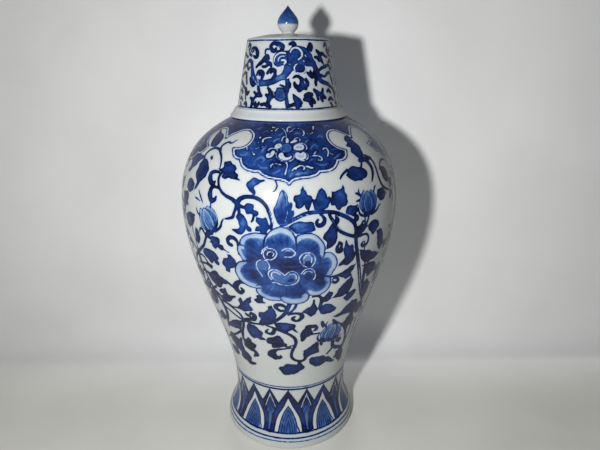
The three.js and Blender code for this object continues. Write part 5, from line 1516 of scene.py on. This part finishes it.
for turn in (0, 120, 240):
    cap.turn = turn
    cap.strokes(CAP_VINES, tone=0.82, grow=0.5, rough=0.5)
    cap.strokes(CAP_DABS, tone=0.92, grow=0.45, rough=0.6)
    cap.leaf(CAP_FLOWER, 0.72, 0, 0.5)
    cap.leaf(FLOWER_HEART, 0.95, 0, 0)
    cap.petal(PALE_PETAL, 0.54, 0.76, 0.6, 2, line=0.45, tone=0.88)
    cap.petal(CAP_BUD, 0.36, 0.6, 0.2, 2, line=0.6, tone=0.86)
    cap.strokes(BUD_STRIPES, tone=0.6)
    cap.pool("tone", CAP_POOLS)
    cap.spares(WHITE_IN_CAP)
cap.band(cap_foot + 1.1, 0.6)
cap.band(roof_edge - 2.2, 0.5)
for radius, width, darkness in ((16.5, 0.8, 0.85), (13, 3.2, 0.85), (27, 1.0, 0.4)):
    cap.band(height_where(roof, radius), width, darkness)
painted(
    "cover_cap", cap_under, cap, slice(0, -1), [(0, cap_top)], "cover"
)

# The cover's rim. A flared white ring luted round the foot of the cap, its underside shaped to
# the shoulder that it rests on. It is glazed and carries no painting.
RIM_LIP = 1.2
RIM_EDGE = 0.9
LEDGE = 2.3
LEDGE_ROUND = 0.8
ledge_radius = cap_foot_radius + LEDGE
under_radius = np.linspace(cap_inner_radius, rim_radius - RIM_LIP, 8)
under_height = height_where(dome, under_radius)
rim_under = np.column_stack([under_radius, under_height + rim_seat - under_height[-1]])
rim_edge = bezier(
    (rim_radius - RIM_LIP, rim_seat), (rim_radius - RIM_EDGE / 3, rim_seat),
    (rim_radius, rim_seat + RIM_EDGE / 3), (rim_radius, rim_seat + RIM_EDGE), 6,
)[1:]
rim_face = bezier(
    (rim_radius, rim_seat + 1.0), (rim_radius - RIM_LIP, rim_seat + 3.2), (ledge_radius + 0.7, rim_top - 3),
    (ledge_radius, rim_top - LEDGE_ROUND), 12,
)
rim_outline = np.array([
    *rim_under, *rim_edge, *rim_face, (ledge_radius - 0.25, rim_top - 0.2),
    (ledge_radius - LEDGE_ROUND, rim_top), (cap_inner_radius, rim_top),
])
rim_shown = (len(rim_under) - 1, len(rim_outline) - 1)
thrown("cover_rim", rim_outline, round_angles(256), rim_shown, "cover", white_glaze)

# The centring tube. A plain thrown tube luted under the roof, that hangs in the bottle's mouth
# and keeps the cover from sliding off. It is left unglazed.
TUBE_WALL = 3.5
TUBE_ROUND = 0.8
tube_bottom, tube_top, tube_radius = measured("cover_centring_tube")
tube_inner = tube_radius - TUBE_WALL
tube_side = np.linspace((tube_radius, tube_bottom + 2), (tube_radius, tube_top), 8)
tube_shown = [
    (tube_inner, tube_bottom), (tube_radius - TUBE_ROUND, tube_bottom),
    (tube_radius, tube_bottom + TUBE_ROUND), *tube_side,
]
tube_hollow = np.linspace((tube_inner, tube_top), (tube_inner, tube_bottom + 2), 8)
thrown(
    "cover_centring_tube", np.array([*tube_shown, *tube_hollow]), round_angles(96),
    (0, len(tube_shown) - 1), "cover", biscuit,
)

# The finial. A solid bud turned with a short foot, luted to the middle of the roof. Its foot is
# left white and the bud is washed all over in deep blue.
BUD_FOOT_RADIUS = 5.6
BUD_STEM_RADIUS = 5.0
BUD_STEM_HEIGHT = 1.4
BUD_WIDEST = 9.0
BUD_PULL = 0.36
BUD_SPACING = 0.4
BUD_SEAM = 0.05
WASH_FROM = 7.0
WASH_EDGE = 1.4
bud_foot, bud_top, bud_radius = measured("cover_finial")
bud_height = bud_top - bud_foot
bowl_rise = BUD_WIDEST - BUD_STEM_HEIGHT
flame_pull = BUD_PULL * (bud_height - BUD_WIDEST)
bowl = bezier(
    (BUD_STEM_RADIUS, BUD_STEM_HEIGHT),
    ((BUD_STEM_RADIUS + bud_radius) / 2, BUD_STEM_HEIGHT + bowl_rise / 5),
    (bud_radius, BUD_STEM_HEIGHT + bowl_rise / 2), (bud_radius, BUD_WIDEST), 60,
)
flame = bezier(
    (bud_radius, BUD_WIDEST), (bud_radius, BUD_WIDEST + flame_pull),
    (BUD_PULL * bud_radius, bud_height - flame_pull), (0, bud_height), 120,
)
stem_foot = [(BUD_FOOT_RADIUS, BUD_SEAM), (BUD_FOOT_RADIUS - 0.1, 8 * BUD_SEAM)]
bud_outside = np.vstack([stem_foot, bowl, flame[1:]]) + [0, bud_foot]
bud_rows = spaced(bud_outside, bud_foot + BUD_SEAM, bud_top, BUD_SPACING)
bud = Painting(round_angles(96), bud_rows)
up_bud = bud_rows[:, 1] - bud_foot
full = np.clip((up_bud - WASH_FROM) / WASH_EDGE, 0, 1)
bud.wash[:] = ((0.46 + 0.16 * up_bud / bud_height) * full)[:, None]
painted(
    "cover_finial", [(0, bud_foot), (4, bud_foot)], bud, slice(0, -1), [(0, bud_top)],
    "cover",
)

# The setting. A pale sheet of matt paper lies under the bottle and sweeps up close behind it.
# Painted light: as the camera sees it, it is painted lighter to the right and up the wall. It lets the light
# through from behind.
SHEET = ((0.3, "#d0d0cf"), (0.7, "#d9d9d8"))
WARMTH = ((0.4, "#fffff7"), (0.95, "#ffffff"))
SHEET_CLOUD = 120.0
SHEET_DISTANCE = 118.0
SWEEP_RADIUS = 42.0
SHEET_REACH = 2500.0
SHEET_COLUMNS = 9
matt_sheet, paper = finish_named("matt_pale_sheet")
place = node(paper, "TexCoord")["Object"]
cloud = node(paper, "TexNoise", {"Vector": place, "Scale": MM / SHEET_CLOUD, "Detail": 3})["Fac"]
pale = node(paper, "ValToRGB", {"Fac": cloud}, SHEET)["Color"]
# Painted light: for camera rays only, the sheet's colour is scaled up towards the wall and towards the
# right, as if more light fell there.
spot = node(paper, "SeparateXYZ", {0: place})
climb = {"Value": spot["Y"], "From Min": -0.02, "From Max": 0.117, "To Min": 0.4, "To Max": 1}
climb = node(paper, "MapRange", climb, **EASED)["Result"]
painted_light_to_right = {"Value": spot["X"], "From Min": -0.25, "From Max": 0.34, "To Min": 0.5, "To Max": 1.12}
painted_light_to_right = node(paper, "MapRange", painted_light_to_right, **EASED)["Result"]
painted_light_on_sheet = node(paper, "Math", {0: climb, 1: painted_light_to_right}, operation="MULTIPLY")[0]
seen = node(paper, "LightPath")["Is Camera Ray"]
painted_light_on_sheet = node(paper, "Math", {0: painted_light_on_sheet, 1: seen, 2: 1}, operation="MULTIPLY_ADD")[0]
warmth = node(paper, "ValToRGB", {"Fac": climb}, WARMTH)["Color"]
pale = node(paper, "VectorMath", {0: pale, 1: warmth}, operation="MULTIPLY")["Vector"]
pale = node(paper, "VectorMath", {0: pale, "Scale": painted_light_on_sheet}, operation="SCALE")["Vector"]
matt = node(paper, "BsdfDiffuse", {"Color": pale})[0]
clear = node(paper, "BsdfTransparent")[0]
behind = node(paper, "NewGeometry")["Backfacing"]
shadow = node(paper, "LightPath")["Is Shadow Ray"]
clear_where = node(paper, "Math", {0: behind, 1: shadow}, operation="MAXIMUM")[0]
skin = node(paper, "MixShader", {0: clear_where, 1: matt, 2: clear})
node(paper, "OutputMaterial", {"Surface": skin[0]})

bend = np.linspace(0, np.pi / 2, 24)
sweep = np.vstack([
    [(-SHEET_REACH, 0), (-600, 0), (-300, 0)],
    np.column_stack([SHEET_DISTANCE - SWEEP_RADIUS * (1 - np.sin(bend)), SWEEP_RADIUS * (1 - np.cos(bend))]),
    [(SHEET_DISTANCE, 300), (SHEET_DISTANCE + 20, 900), (SHEET_DISTANCE + 60, SHEET_REACH)],
])
size = (len(sweep), SHEET_COLUMNS)
across = np.broadcast_to(np.linspace(-SHEET_REACH, SHEET_REACH, SHEET_COLUMNS), size)
points = np.dstack([across, np.broadcast_to(sweep[:, :1], size), np.broadcast_to(sweep[:, 1:], size)]) / MM
number = np.arange(len(sweep) * SHEET_COLUMNS).reshape(size)
quads = np.stack([number[:-1, :-1], number[:-1, 1:], number[1:, 1:], number[1:, :-1]], -1)
quads = quads.reshape(-1, 4)
mesh = bpy.data.meshes.new("backdrop")
mesh.from_pydata(points.reshape(-1, 3).tolist(), [], quads.tolist())
mesh.polygons.foreach_set("use_smooth", np.ones(len(quads), bool))
backdrop = bpy.data.objects.new("backdrop", mesh)
backdrop.data.materials.append(matt_sheet)
bpy.context.scene.collection.objects.link(backdrop)

# The light: a small lamp beside the lens, to its left, that draws the shadow on the sheet, a
# broad one behind, and the room's own soft light all round. Places and sizes are in metres.
ROOM_COLOUR = "#e6e8ec"
ROOM_STRENGTH = 0.07


def lamp(name, place, aim, size, watts):
    """A round lamp of a width, turned to face a point."""
    light = bpy.data.lights.new(name, "AREA")
    light.shape = "DISK"
    light.size = size
    light.energy = watts
    holder = bpy.data.objects.new(name, light)
    away = np.array(place) - np.array(aim)
    holder.location = place
    tilt, turn = math.atan2(math.hypot(away[0], away[1]), away[2]), math.atan2(away[0], -away[1])
    holder.rotation_euler = (tilt, 0, turn)
    bpy.context.scene.collection.objects.link(holder)


lamp("lamp_by_the_lens", (-0.131, -0.457, 0.35), (0, 0, 0.2), 0.032, 1.9)
lamp("soft_light_behind", (0, 1.2, 0.3), (0, 0, 0.2), 0.7, 7.0)
room = bpy.data.worlds.new("room")
bpy.context.scene.world = room
room.use_nodes = True
room_light = room.node_tree.nodes["Background"].inputs
room_light["Color"].default_value = colour(ROOM_COLOUR)
room_light["Strength"].default_value = ROOM_STRENGTH

# The camera stands a little above the cover's rim and looks down at the bottle.
CAMERA_AT = (0.0, -0.446, 0.353)
CAMERA_PITCH = math.radians(18.26)
CAMERA_YAW = math.radians(1.3)
FOCAL_LENGTH = 29.4
SENSOR_WIDTH = 36
view = bpy.data.cameras.new("camera")
view.sensor_width = SENSOR_WIDTH
view.lens = FOCAL_LENGTH
camera = bpy.data.objects.new("camera", view)
camera.location = CAMERA_AT
camera.rotation_euler = (math.pi / 2 - CAMERA_PITCH, 0, -CAMERA_YAW)
bpy.context.scene.collection.objects.link(camera)
bpy.context.scene.camera = camera
bpy.context.scene.view_settings.view_transform = "Standard"
